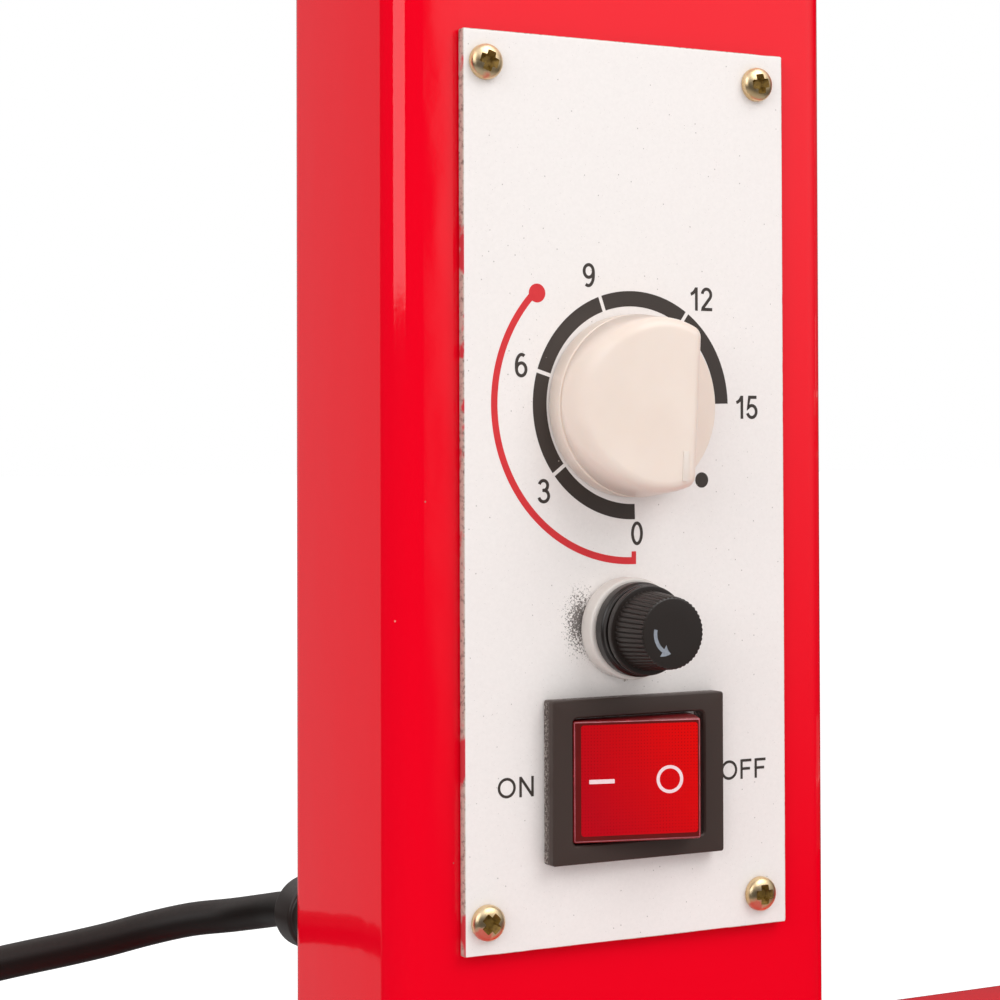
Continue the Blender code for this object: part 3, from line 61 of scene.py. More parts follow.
# %% [markdown]
# Every finish is a small graph of patterns that ends in a Principled shader. Colours are written as on
# a screen, in sRGB hex, and Blender wants them linear. Patterns are laid in the machine's own metres
# and are named here by how many millimetres their features measure.

# %% Graphs and finishes
def linear(code):
    """A colour from sRGB hex to the linear values that shaders take."""
    shares = [int(code[i : i + 2], 16) / 255 for i in (1, 3, 5)]
    return [c / 12.92 if c <= 0.04045 else ((c + 0.055) / 1.055) ** 2.4 for c in shares] + [1.0]


def give(tree, socket, value):
    """Links another node's output to a socket, or sets it to a plain value."""
    if isinstance(value, bpy.types.NodeSocket):
        tree.links.new(value, socket)
    else:
        socket.default_value = value


class Graph:
    """A node tree with short ways to add the usual nodes. Each gives back an output, ready to be used."""

    def __init__(self, tree):
        self.tree = tree

    def add(self, kind, inputs=None, **settings):
        made = self.tree.nodes.new(kind)
        for name, value in settings.items():
            setattr(made, name, value)
        for socket, value in (inputs or {}).items():
            give(self.tree, made.inputs[socket], value)
        return made

    def math(self, operation, *inputs):
        return self.add("ShaderNodeMath", dict(enumerate(inputs)), operation=operation).outputs[0]

    def fold(self, operation, first, *others):
        """Joins levels one after another: their product, or the largest of them."""
        for other in others:
            first = self.math(operation, first, other)
        return first

    def vector(self, operation, *inputs):
        made = self.add("ShaderNodeVectorMath", dict(enumerate(inputs)), operation=operation)
        return made.outputs["Value" if operation in ("DISTANCE", "LENGTH") else "Vector"]

    def axes(self, source):
        return self.add("ShaderNodeSeparateXYZ", {0: source}).outputs

    def ramp(self, source, low=0.0, high=1.0, start=0.0, end=1.0):
        """A level that goes from start to end while its source goes from low to high."""
        return self.add("ShaderNodeMapRange", {0: source, 1: low, 2: high, 3: start, 4: end}).outputs[0]

    def sweep(self, source, low, high, start=0.0, end=1.0):
        """The same, but level at both ends."""
        inputs = {0: source, 1: low, 2: high, 3: start, 4: end}
        return self.add("ShaderNodeMapRange", inputs, interpolation_type="SMOOTHSTEP").outputs[0]

    def choose(self, share, first, second):
        """A level between two others."""
        return self.add("ShaderNodeMix", {0: share, 2: first, 3: second}, data_type="FLOAT").outputs[0]

    def mix(self, share, first, second):
        """A colour between two others."""
        first, second = (linear(c) if isinstance(c, str) else c for c in (first, second))
        return self.add("ShaderNodeMix", {0: share, 6: first, 7: second}, data_type="RGBA").outputs[2]


class Finish(Graph):
    """A material with its Principled shader, and with patterns laid in the machine's metres."""

    def __init__(self, name, colour, roughness, metallic=0.0, **sockets):
        self.material = bpy.data.materials.new(name)
        self.material.use_nodes = True
        super().__init__(self.material.node_tree)
        self.shader = self.tree.nodes["Principled BSDF"]
        self.coordinates = self.add("ShaderNodeTexCoord").outputs
        self.where = self.coordinates["Object"]
        self.feed(Base_Color=linear(colour), Roughness=roughness, Metallic=metallic, **sockets)

    def feed(self, **sockets):
        """Gives the shader's sockets what they show."""
        for name, value in sockets.items():
            give(self.tree, self.shader.inputs[name.replace("_", " ")], value)

    def tone(self, share, first, second):
        """Colours the material by a mix of two colours."""
        made = self.mix(share, first, second)
        self.feed(Base_Color=made)
        return made

    def noise(self, size, detail=2.0, roughness=0.5, where=None):
        where = self.where if where is None else where
        inputs = {"Scale": 1000 / size, "Detail": detail, "Roughness": roughness, "Vector": where}
        return self.add("ShaderNodeTexNoise", inputs).outputs[0]

    def cells(self, size):
        """A mosaic: how far each point is from its cell's middle, and the cell's own random levels."""
        made = self.add("ShaderNodeTexVoronoi", {"Scale": 1000 / size, "Vector": self.where})
        chances = self.add("ShaderNodeSeparateColor", {0: made.outputs["Color"]}).outputs
        return made.outputs["Distance"], chances

    def relief(self, height, strength, depth, under=None):
        """Raises a pattern by so many millimetres, on top of another relief if there is one."""
        inputs = {"Strength": strength, "Distance": depth * MM, "Height": height}
        if under is not None:
            inputs["Normal"] = under
        made = self.add("ShaderNodeBump", inputs).outputs[0]
        self.feed(Normal=made)
        return made


def clouded(name, colour, roughness, size, detail, first, second, **sockets):
    """A finish whose colour drifts from one to another in clouds of so many millimetres."""
    made = Finish(name, colour, roughness, **sockets)
    made.tone(made.noise(size, detail), first, second)
    return made


# %% [markdown]
# Most of the machine's pieces are turned, pressed or extruded, and all of these are rows of rings:
# a ring for each height, skinned with faces and closed at the ends. Rings keep every rounded edge in
# the mesh itself. Corners of a profile are softened before it is turned, because no moulded or
# machined edge is a knife edge, and it is that small radius which catches the light.

# %% Rings and profiles
# A solid bar's profile stops just short of its axis, so that its end rings keep all their points.
MIDDLE = 0.1 * MM


def lathe(profile, steps=72):
    """Rings of a turned shape, from its radius and height pairs."""
    turns = [2 * math.pi * i / steps for i in range(steps)]
    return [[(r * math.cos(a), r * math.sin(a), z) for a in turns] for r, z in profile]


def soft(points, radius, steps=4):
    """An open profile with each of its inner corners rounded."""
    line = [Vector(p) for p in points]
    out = [line[0]]
    for before, corner, after in zip(line, line[1:], line[2:]):
        back, on = before - corner, after - corner
        reach = min(radius, back.length / 2.01, on.length / 2.01)
        start, end = corner + back.normalized() * reach, corner + on.normalized() * reach
        for i in range(steps + 1):
            t = i / steps
            out.append(start * (1 - t) ** 2 + corner * 2 * t * (1 - t) + end * t * t)
    return [tuple(p) for p in out + [line[-1]]]


def rounded(width, height, corner, level=0.0, inset=0.0, steps=8):
    """A ring in the shape of a rectangle with round corners."""
    bend = max(corner - inset, corner * 0.1)
    across, along = width / 2 - inset - bend, height / 2 - inset - bend
    ring = []
    for x, y, start in ((across, along, 0), (-across, along, 1), (-across, -along, 2), (across, -along, 3)):
        for i in range(steps + 1):
            angle = math.pi / 2 * (start + i / steps)
            ring.append((x + bend * math.cos(angle), y + bend * math.sin(angle), level))
    return ring


def top_edge(high, edge, steps=4):
    """Levels and insets over a rounded upper edge."""
    turns = [math.pi / 2 * i / steps for i in range(steps + 1)]
    return [(high - edge * (1 - math.sin(a)), edge * (1 - math.cos(a))) for a in turns]


def slab_rings(width, depth, low, high, corner, edge, steps=4, points=8):
    """Rings of a flat slab whose upper and lower edges are rounded."""
    lower = [(low - level, inset) for level, inset in reversed(top_edge(0, edge, steps))]
    sides = lower + top_edge(high, edge, steps)
    return [rounded(width, depth, corner, level, inset, points) for level, inset in sides]


# %% Pieces
def shape(name, rings, finishes, place=Matrix.Identity(4), closed=False, bands=None):
    """Skins a row of rings. A closed row comes back to its start; bands pick a finish for each row."""
    maker = bmesh.new()
    rows = [[maker.verts.new(point) for point in ring] for ring in rings]
    pairs = list(zip(rows, rows[1:])) + ([(rows[-1], rows[0])] if closed else [])
    for number, (low, high) in enumerate(pairs):
        for i in range(len(low)):
            j = (i + 1) % len(low)
            face = maker.faces.new((low[i], low[j], high[j], high[i]))
            face.material_index = bands[number] if bands else 0
    if not closed:
        maker.faces.new(list(reversed(rows[0]))).material_index = bands[0] if bands else 0
        maker.faces.new(rows[-1]).material_index = bands[-1] if bands else 0
    bmesh.ops.remove_doubles(maker, verts=maker.verts, dist=0.001 * MM)
    bmesh.ops.recalc_face_normals(maker, faces=maker.faces)
    mesh = bpy.data.meshes.new(name)
    maker.to_mesh(mesh)
    maker.free()
    mesh.transform(place)
    for finish in finishes:
        mesh.materials.append(finish.material)
    return stand(name, mesh)


def stand(name, data):
    """Puts a mesh, a curve, a lamp or a camera in the scene."""
    made = bpy.data.objects.new(name, data)
    bpy.context.scene.collection.objects.link(made)
    return made


def turned(name, profile, finish, place, edge=0.0, steps=72, closed=False):
    """A turned piece whose profile may have its corners rounded."""
    line = soft(profile, edge) if edge else profile
    return shape(name, lathe(line, steps), [finish], place, closed=closed)


def rod(radius, start, end):
    """The profile of a solid bar."""
    return [(MIDDLE, start), (radius, start), (radius, end), (MIDDLE, end)]


def joined(name, pieces):
    """One piece from several that share their finishes."""
    maker = bmesh.new()
    for piece in pieces:
        maker.from_mesh(piece.data)
    whole = pieces[0]
    maker.to_mesh(whole.data)
    maker.free()
    for piece in pieces[1:]:
        bpy.data.objects.remove(piece)
    whole.name = name
    return whole


def cut_away(piece, *cutters):
    """Cuts the cutters out of a piece and removes them."""
    for cutter in cutters:
        step = piece.modifiers.new("cut", "BOOLEAN")
        step.object = cutter
        step.operation = "DIFFERENCE"
        step.material_mode = "TRANSFER"
    graph = bpy.context.evaluated_depsgraph_get()
    mesh = bpy.data.meshes.new_from_object(piece.evaluated_get(graph))
    piece.modifiers.clear()
    piece.data = mesh
    for cutter in cutters:
        bpy.data.objects.remove(cutter)


def settle(piece, body, slot=None, *replaced, smooth=32):
    """Shades a finished piece, lets it ride on its body and hides the model nodes it stands for."""
    if piece.type == "MESH":
        piece.data.shade_smooth()
        piece.data.set_sharp_from_angle(angle=math.radians(smooth))
    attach(piece, body)
    if replaced:
        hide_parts(*replaced)
    return piece


# %% Places
FACING = Matrix(((1, 0, 0, 0), (0, 0, -1, 0), (0, 1, 0, 0), (0, 0, 0, 1)))
BACKWARDS = Matrix(((1, 0, 0, 0), (0, 0, 1, 0), (0, -1, 0, 0), (0, 0, 0, 1)))
DOWN = Matrix.Diagonal((1, -1, -1, 1))
TURN_X = Matrix.Rotation(math.pi / 2, 4, "Y")
ALONG_X = Matrix.Rotation(math.pi / 2, 4, "Z") @ Matrix.Rotation(math.pi / 2, 4, "X")


def at(x, y=0.0, z=0.0):
    """A place in the machine."""
    return Matrix.Translation((x, y, z))


def box(node):
    """A model node's low corner, high corner, centre and size."""
    low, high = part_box(node)
    return low, high, (low + high) / 2, high - low


column_low, column_high, column_mid, column_size = box("column")
plate_low, _, plate_mid, plate_size = box("control_plate")
PANEL_Z = plate_mid.z
PLATE_FACE = plate_low.y


def on_panel(right, up, out=0.0):
    """The place on the control plate, right and up from its middle, of a piece whose +Z faces out."""
    return at(plate_mid.x + right, PLATE_FACE - out, PANEL_Z + up) @ FACING


# %% [markdown]
# The photograph is taken from the front left with a long lens, from about the height of the control
# plate. The lens and the small vertical shift come from the vanishing lines of the plate and from
# the known 80 x 40 mm tube, and the turn of the camera from the same fit.

# %% Camera
SENSOR = 36.0
CAMERA_LENS = 86.24
CAMERA_SHIFT = -0.0890
CAMERA_PLACE = (-0.3010, -0.3414, 0.1875)
CAMERA_TURN = (91.038, 0.160, -28.424)

camera = stand("camera", bpy.data.cameras.new("camera"))
camera.data.sensor_width = SENSOR
camera.data.lens = CAMERA_LENS
camera.data.shift_y = CAMERA_SHIFT
camera.location = CAMERA_PLACE
camera.rotation_euler = Euler([math.radians(a) for a in CAMERA_TURN])
bpy.context.scene.camera = camera
bpy.context.scene.view_settings.view_transform = "Standard"

# %% [markdown]
# The studio is seen by the paint, not by the camera. A white wall behind the machine lays a pale veil
# on the tube's side face. A pale wall in front of it, brighter towards the ceiling, fades down the
# front face. Between the two stands the dark part of the room, which leaves a clean dark line on each
# side of the lamp's image on the rounded corner. The world draws these for glossy rays alone, by
# compass direction. For the camera it is plain white, and for diffuse light it is one even level.

# %% World
AMBIENT = 0.66
ROOM_DARK, ROOM_WALL, ROOM_PALE, ROOM_CEILING, ROOM_FLOOR = 0.03, 0.33, 0.95, 0.9, 0.5

world = bpy.data.worlds.new("studio")
world.use_nodes = True
bpy.context.scene.world = world
studio = Graph(world.node_tree)
ray = studio.add("ShaderNodeLightPath").outputs
direction = studio.axes(studio.add("ShaderNodeTexCoord").outputs["Generated"])
rise = direction["Z"]
compass = studio.math("MULTIPLY", studio.math("ARCTAN2", direction["Y"], direction["X"]), 180 / math.pi)
front_wall = studio.fold(
    "MULTIPLY",
    studio.sweep(compass, -68, -64.5),
    studio.sweep(compass, -40, 0, 1.0, 0.16),
    studio.sweep(compass, 50, 66, 1.0, 0.0),
    studio.sweep(rise, -0.24, 0.24, 0.0, 0.9),
)
back_wall = studio.fold(
    "MULTIPLY",
    studio.sweep(compass, 60, 75),
    studio.sweep(compass, 122, 126, 1.0, 0.0),
    studio.sweep(rise, 0.2, 0.7, ROOM_WALL, ROOM_PALE),
)
ceiling = studio.sweep(rise, 0.3, 0.5, ROOM_DARK, ROOM_CEILING)
ground = studio.sweep(rise, -0.3, -0.5, ROOM_DARK, ROOM_FLOOR)
mirrored = studio.fold("MAXIMUM", front_wall, back_wall, ceiling, ground)
lit = studio.choose(ray["Is Glossy Ray"], AMBIENT, mirrored)
seen = studio.math("MAXIMUM", ray["Is Camera Ray"], ray["Is Transmission Ray"])
sky = studio.tree.nodes["Background"]
give(studio.tree, sky.inputs["Strength"], studio.choose(seen, lit, 1.0))
sky.inputs["Color"].default_value = (1, 1, 1, 1)

# %% Soft boxes
LEFT_BOX_TURN = math.radians(210)
LEFT_BOX_AWAY, LEFT_BOX_HEIGHT = 1.2, 0.74


def soft_box(name, place, target, width, height, radiance):
    """A rectangular lamp that faces a target and shows one even brightness."""
    lamp = bpy.data.lights.new(name, "AREA")
    lamp.shape = "RECTANGLE"
    lamp.size, lamp.size_y = width, height
    lamp.energy = radiance * math.pi * width * height
    made = stand(name, lamp)
    made.location = place
    made.rotation_euler = (Vector(target) - Vector(place)).to_track_quat("-Z", "Y").to_euler()


left_target = Vector((column_low.x, column_low.y, LEFT_BOX_HEIGHT))
left_way = Vector((math.cos(LEFT_BOX_TURN), math.sin(LEFT_BOX_TURN), 0))
soft_box("left_box", left_target + LEFT_BOX_AWAY * left_way, left_target, 0.95, 0.90, 2.15)
soft_box("right_box", (0.25, -0.70, 0.95), (-0.09, 0, 0.22), 0.8, 0.8, 2.7)
soft_box("rear_box", (-0.9, 0.5, 1.1), (-0.1, 0, 0.2), 0.6, 0.6, 1.5)

# %% Floor
# The floor is lit as any pale floor is, and a little of its own brightness, for the camera alone,
# lifts it to the white of the backdrop while the shadows stay.
FLOOR_REACH = 40.0
FLOOR_LIFT = 0.6

pale = Finish("pale_floor", "#DDDDDD", 0.6, Specular_IOR_Level=0.2, Emission_Color=(1, 1, 1, 1))
shown = pale.add("ShaderNodeLightPath").outputs["Is Camera Ray"]
pale.feed(Emission_Strength=pale.math("MULTIPLY", shown, FLOOR_LIFT))
floor = shape("floor", [rounded(FLOOR_REACH, FLOOR_REACH, 1.0, level) for level in (-0.01, 0.0)], [pale])
floor.visible_glossy = False

# %% [markdown]
# The mains lead is round PVC flex, 6 mm thick, and 1.55 m long, which is what such a machine has. It
# leaves the relief at the back, bends down to the bench and lies in a coil of six turns behind the
# machine. It is one curve, so that its length can be measured, and its points are those of the model.

# %% Mains lead
CORD_RADIUS, COIL_MEAN_RADIUS, COIL_PITCH, CORD_FLOOR = in_mm(3.0, 33.0, 6.6, 3.1)
LEAD_OUT, LEAD_POINTS, PLUG_HEIGHT, TIE_LIFT = 46.0 * MM, 6, 18.8 * MM, 1.5 * MM
COIL_TURNS_PER_LAYER = 3
COIL_LOOP_POINTS = 24
COIL_CLIMB_SHARE = 0.25
COIL_X, COIL_Y = -0.125, 0.122
TIE_ANGLE = math.radians(-90)
TIE_LIFT_SHARE = 0.16
CORD_STEPS = 4
CORD_ROUTE = (
    (-0.1338, 0.0396, 0.1086), (-0.1338, 0.0436, 0.1085), (-0.1340, 0.0480, 0.1079),
    (-0.1348, 0.0540, 0.1066), (-0.1380, 0.0615, 0.1049), (-0.14375, 0.0667, 0.1038),
    (-0.1505, 0.0702, 0.1022), (-0.1577, 0.0720, 0.1006), (-0.1650, 0.0732, 0.0994),
    (-0.1718, 0.0740, 0.0985), (-0.1790, 0.0749, 0.0974), (-0.1885, 0.0764, 0.0953),
    (-0.2026, 0.0830, 0.0900), (-0.2135, 0.0939, 0.0805), (-0.2201, 0.1080, 0.0670),
    (-0.2216, 0.1195, 0.0550), (-0.2201, 0.1310, 0.0425), (-0.2135, 0.1451, 0.0275),
    (-0.2026, 0.1560, 0.0150), (-0.1885, 0.1626, 0.0068), (-0.1770, 0.1641, 0.0039),
    (-0.1650, 0.1641, 0.0031), (-0.1500, 0.1641, 0.0031), (-0.1380, 0.1641, 0.0031),
)


def eased(share):
    """From 0 to 1, level at both ends."""
    share = min(max(share, 0), 1)
    return share * share * (3 - 2 * share)


def coil_points():
    """Inwards on the bench for a layer, up, outwards again, and out to the plug."""
    flat_turns = COIL_TURNS_PER_LAYER - COIL_CLIMB_SHARE
    outer = COIL_MEAN_RADIUS + flat_turns * COIL_PITCH / 2
    turns = 2 * COIL_TURNS_PER_LAYER
    line = [Vector((COIL_X - 2 * CORD_RADIUS, COIL_Y + outer, CORD_FLOOR))]
    for i in range(turns * COIL_LOOP_POINTS + 1):
        turn = i / COIL_LOOP_POINTS
        climb = min(max((turn - flat_turns) / (turns - 2 * flat_turns), 0), 1)
        angle = math.pi / 2 - 2 * math.pi * turn
        radius = outer - min(turn, turns - turn) * COIL_PITCH
        away = abs((angle - TIE_ANGLE + math.pi) % (2 * math.pi) - math.pi) / (2 * math.pi)
        height = CORD_FLOOR + COIL_PITCH * climb + TIE_LIFT * eased(1 - away / TIE_LIFT_SHARE)
        line.append(Vector((COIL_X + radius * math.cos(angle), COIL_Y + radius * math.sin(angle), height)))
    top = CORD_FLOOR + COIL_PITCH
    for step in range(1, LEAD_POINTS + 1):
        share = step / LEAD_POINTS
        height = top + (PLUG_HEIGHT - top) * eased(share)
        line.append(Vector((COIL_X + LEAD_OUT * share, COIL_Y + outer, height)))
    line.append(Vector((COIL_X + LEAD_OUT + 2 * CORD_RADIUS, COIL_Y + outer, PLUG_HEIGHT)))
    return line


def through(points, steps):
    """A smooth curve through points, so many steps between neighbours."""
    knots = [2 * points[0] - points[1], *points, 2 * points[-1] - points[-2]]
    line = []
    for a, b, c, d in zip(knots, knots[1:], knots[2:], knots[3:]):
        for i in range(steps):
            t = i / steps
            bend = (2 * a - 5 * b + 4 * c - d) * t * t + (3 * b - a - 3 * c + d) * t**3
            line.append(b + ((c - a) * t + bend) / 2)
    return line + [points[-1]]


def rope(name, line, radius, finish):
    """A curve object that is a round tube along a line."""
    curve = bpy.data.curves.new(name, "CURVE")
    curve.dimensions = "3D"
    curve.bevel_depth = radius
    curve.bevel_resolution = 6
    curve.use_fill_caps = True
    curve.materials.append(finish.material)
    spline = curve.splines.new("POLY")
    spline.points.add(len(line) - 1)
    for point, place in zip(spline.points, line):
        point.co = (*place, 1)
    spline.use_smooth = True
    return stand(name, curve)


# Plasticised PVC, extruded over the cores: a dull skin with a faint drawn grain, and a mottled lighter tone on
# its upper side that is partly dust and partly painted highlight.
pvc = Finish("black_pvc_sheath", "#221A17", 0.5, IOR=1.52, Specular_IOR_Level=0.3)
upper_dust_and_highlight = pvc.ramp(pvc.axes(pvc.coordinates["Normal"])["Z"], 0.2)
pvc.tone(pvc.math("MULTIPLY", upper_dust_and_highlight, pvc.noise(1.2, 4.0, 0.7)), "#17100D", "#362A25")
pvc.relief(pvc.noise(0.8, 3.0), 0.25, 0.05)

line = through([Vector(p) for p in CORD_ROUTE] + coil_points(), CORD_STEPS)
cord = rope("mains_lead", line, CORD_RADIUS, pvc)
settle(cord, "frame", "black_rubber", "power_cord", "cord_coil")
print("lead, m", round(sum((b - a).length for a, b in zip(line, line[1:])), 4), "in", len(line), "points")

# %% [markdown]
# The plug is moulded on the lead: a ribbed sleeve that takes the bend, a round grip and a face with
# two nickel-plated pins. A woven strap holds the coil together.

# %% Plug and strap
SLEEVE_RIBS, RIB_START, RIB_STEP, RIB_LENGTH, RIB_DROP = 6, 1.2, 3.6, 2.0, 0.7
GRIP = [(5.2, 24), (12, 28.5), (12, 36), (17, 42), (18.5, 43.5), (18.5, 58.5), (17, 60), (0.1, 60)]
PIN_TIP, PIN_EDGE = in_mm(1.2, 0.6)
STRAP, STRAP_CORNER, STRAP_EDGE = in_mm(1.2, 4.2, 0.3)

plug_skin = Finish("moulded_black_pvc", "#221B18", 0.42, IOR=1.52)
plug_skin.relief(plug_skin.cells(0.7)[0], 0.3, 0.04)
profile = [(3.1, 0.0), (4.0, 0.0)]
for i in range(SLEEVE_RIBS):
    start, size = RIB_START + RIB_STEP * i, 4.05 + 0.2 * i
    profile += [(size, start), (size, start + RIB_LENGTH)]
    profile += [(size - RIB_DROP, start + RIB_LENGTH + 0.3), (size - RIB_DROP, start + RIB_LENGTH + 1.3)]
low, _, centre, _ = box("plug_body")
profile = [in_mm(*point) for point in profile + GRIP]
plug = turned("plug_moulding", profile, plug_skin, at(low.x, centre.y, centre.z) @ TURN_X, 0.5 * MM)
on_cord = [settle(plug, "frame", "black_rubber", "plug_body")]

nickel = Finish("nickel_plated_brass", "#D6D0C4", 0.16, 1.0)
nickel.feed(Roughness=nickel.ramp(nickel.noise(0.9, 4.0), start=0.12, end=0.30))
for number in (1, 2):
    low, _, centre, size = box(f"plug_pin_{number}")
    radius = size.z / 2
    profile = rod(radius, 0, size.x - PIN_TIP)[:-1] + [(radius - PIN_TIP, size.x), (MIDDLE, size.x)]
    place = at(low.x, centre.y, centre.z) @ TURN_X
    pin = turned(f"plug_prong_{number}", profile, nickel, place, PIN_EDGE, 64)
    on_cord.append(settle(pin, "frame", "nickel_plate", f"plug_pin_{number}"))

webbing = Finish("woven_nylon_webbing", "#1C1918", 0.85, Sheen_Weight=0.2)
weave = webbing.add("ShaderNodeTexChecker", {"Scale": 1000 / 0.6, "Vector": webbing.where})
webbing.relief(weave.outputs["Fac"], 0.6, 0.1)
_, _, centre, size = box("cord_tie")
half = size.x / 2
outer = [(-half, STRAP_EDGE), (STRAP_EDGE - half, 0), (half - STRAP_EDGE, 0), (half, STRAP_EDGE)]
rings = [rounded(size.y, size.z, STRAP_CORNER, z, inset) for z, inset in outer]
rings += [rounded(size.y, size.z, STRAP_CORNER, z, STRAP - inset) for z, inset in reversed(outer)]
strap = shape("coil_strap", rings, [webbing], at(*centre) @ ALONG_X, closed=True)
on_cord.append(settle(strap, "frame", "tie_fabric", "cord_tie"))

# %% [markdown]
# The frame is welded steel tube, sprayed and baked. Baked enamel is a hard gloss skin that never
# lies quite flat: it keeps the shallow waves called orange peel, which make the edges of a mirrored
# lamp tremble. So the finish is a plain gloss paint with waves of about 7 mm, a finer ripple and a
# few grains of dust.

# %% Baked red enamel
def specks(finish, size, rarity, largest):
    """Spots in the rarer cells of a mosaic, with the random levels of the cells."""
    distance, chances = finish.cells(size)
    return finish.math("LESS_THAN", distance, finish.ramp(chances[0], rarity, 1.0, 0.0, largest)), chances


enamel = Finish("baked_red_enamel", "#F0001E", 0.06, IOR=1.5)
runs = enamel.vector("MULTIPLY", enamel.where, (1.0, 1.0, 0.33))
peel = enamel.relief(enamel.noise(7, 1.0, where=runs), 1.0, 0.07)
enamel.relief(enamel.noise(1.6), 1.0, 0.005, under=peel)
speck, chances = specks(enamel, 4.5, 0.80, 0.05)
enamel.tone(speck, "#F0001E", enamel.mix(chances[1], "#7A0008", "#F08A80"))

# %% Tubes
TUBE_CORNER, TUBE_WALL = in_mm(5.0, 2.5)
TUBE_FACETS = 12
WINDOW_HALF, WINDOW_RISE, WINDOW_DROP, SHARP = in_mm(23, 54, 58, 0.0005)
BUSH_BORE, BORE_OVER = in_mm(15.3, 5)
ARMS = ("lower_arm", "upper_arm")


def tube(name, width, depth, length, place):
    """A rectangular steel tube, open at both ends."""
    rings = []
    for inset, ends in ((0, (0, length)), (TUBE_WALL, (length, 0))):
        across, along, corner = width - 2 * inset, depth - 2 * inset, TUBE_CORNER - inset
        rings += [rounded(across, along, corner, z, 0, TUBE_FACETS) for z in ends]
    return shape(name, rings, [enamel], place, closed=True)


place = at(column_mid.x, column_mid.y, column_low.z)
column = tube("column_tube", column_size.x, column_size.y, column_size.z, place)
levels = (PANEL_Z - WINDOW_DROP, PANEL_Z + WINDOW_RISE)
rings = [rounded(2 * WINDOW_HALF, 3 * TUBE_WALL, SHARP, z, 0, 1) for z in levels]
cut_away(column, shape("window", rings, [], at(plate_mid.x, column_low.y + TUBE_WALL / 2)))
settle(column, "frame", "red_enamel", "column")

bush_low, bush_high, bush_mid, bush_size = box("spindle_bush")
bore = [(BUSH_BORE, bush_low.z - BORE_OVER), (BUSH_BORE, bush_high.z + BORE_OVER)]
for arm in ARMS:
    low, _, centre, size = box(arm)
    piece = tube(f"{arm}_tube", size.y, size.z, size.x, at(low.x, centre.y, centre.z) @ ALONG_X)
    if arm == "upper_arm":
        cut_away(piece, shape("bore", lathe(bore), [], at(bush_mid.x)))
    settle(piece, "frame", "red_enamel", arm)

# %% [markdown]
# The base is cut from 6 mm plate, with four bolt holes whose mouths are broken with a file before the
# paint goes on.

# %% Base plate
BASE_CORNER, BASE_EDGE = in_mm(12, 0.7)
HOLE_X, HOLE_Y, HOLE_RADIUS, HOLE_LIP = in_mm(152, 57, 4.5, 0.5)

base_low, base_high, base_mid, base_size = box("base_plate")
rings = slab_rings(base_size.x, base_size.y, base_low.z, base_high.z, BASE_CORNER, BASE_EDGE)
base = shape("base_sheet", rings, [enamel], at(base_mid.x, base_mid.y))
mouth = HOLE_RADIUS + HOLE_LIP
hole = [
    (mouth, base_low.z - MM), (mouth, base_low.z), (HOLE_RADIUS, base_low.z + HOLE_LIP),
    (HOLE_RADIUS, base_high.z - HOLE_LIP), (mouth, base_high.z), (mouth, base_high.z + MM),
]
spots = [(base_mid.x + x * HOLE_X, base_mid.y + y * HOLE_Y) for x in (-1, 1) for y in (-1, 1)]
cut_away(base, *[turned("drill", hole, enamel, at(*spot), steps=48) for spot in spots])
settle(base, "frame", "red_enamel", "base_plate")

# %% [markdown]
# The control plate is aluminium sheet, 1.5 mm thick, sprayed white before it was cut, so its sawn
# edge is bare metal; the red patches on it are partly overspray and partly a painted reflection of the
# red tube. The white is a fine-grained satin lacquer. Dust has gathered on it, most of it to the left
# of the dial, the washer and the switch, and a little shade is painted just under the washer.

# %% White lacquer and its bare edge
DUSTY_PLACES = (
    (-14.5, -20.5, 8.5), (-21.0, 16.0, 16.0), (-3.0, -31.5, 13.0), (-17.0, -44.0, 14.0), (-20, 34, 18),
)
GRAINS = ((1.2, 0.18, 0.10), (0.5, 0.3, 0.14))
THICK_DUST, SMALLEST_GRAIN, DUST_DEPTH = 0.45, 0.04, 0.5
# A stain of grey lint packed against the left of the washer, and a brown mark just under the washer's lower
# edge that is painted shade.
LINT_AND_SHADE = ((-8.9, -20.4, 4.8, 1.7, "#554D49", 0.9), (-0.9, -29.7, 0.9, 0.45, "#7A5A40", 0.6))


def panel_point(right, up, out=0.0):
    """A point of the plate, in millimetres right and up from its middle and out of its face."""
    return plate_mid.x + right * MM, PLATE_FACE - out * MM, PANEL_Z + up * MM


lacquer = Finish("satin_white_lacquer", "#F6EEEA", 0.42, IOR=1.48)
lacquer.relief(lacquer.noise(0.35, 3.0, 0.7), 0.35, 0.03)
heaps = []
for right, up, reach in DUSTY_PLACES:
    away = lacquer.vector("DISTANCE", lacquer.where, panel_point(right, up))
    heaps.append(lacquer.sweep(away, 0.0, reach * MM, 1.0, 0.0))
gathered = lacquer.fold("MAXIMUM", *heaps)
grains = []
for size, share, largest in GRAINS:
    distance, chances = lacquer.cells(size)
    chosen = lacquer.math("GREATER_THAN", chances[0], lacquer.ramp(gathered, start=1 - share, end=THICK_DUST))
    inside = lacquer.math("LESS_THAN", distance, lacquer.ramp(chances[1], start=SMALLEST_GRAIN, end=largest))
    grains.append(lacquer.math("MULTIPLY", chosen, inside))
thin = lacquer.math("MULTIPLY", lacquer.fold("MAXIMUM", *grains), DUST_DEPTH)
tone = lacquer.mix(thin, lacquer.mix(lacquer.noise(0.5), "#ECE6E3", "#F4EEEB"), "#6E635C")
lint = lacquer.noise(0.32, 3.0, 0.8)
for right, up, reach, stretch, colour, depth in LINT_AND_SHADE:
    offset = lacquer.vector("SUBTRACT", lacquer.where, panel_point(right, up))
    away = lacquer.vector("LENGTH", lacquer.vector("MULTIPLY", offset, (1, 1, 1 / stretch)))
    packed = lacquer.math("SUBTRACT", lacquer.ramp(away, 0.0, reach * MM, 0.68, 0.3), lint)
    tone = lacquer.tone(lacquer.ramp(packed, 0.0, 0.06, end=depth), tone, colour)

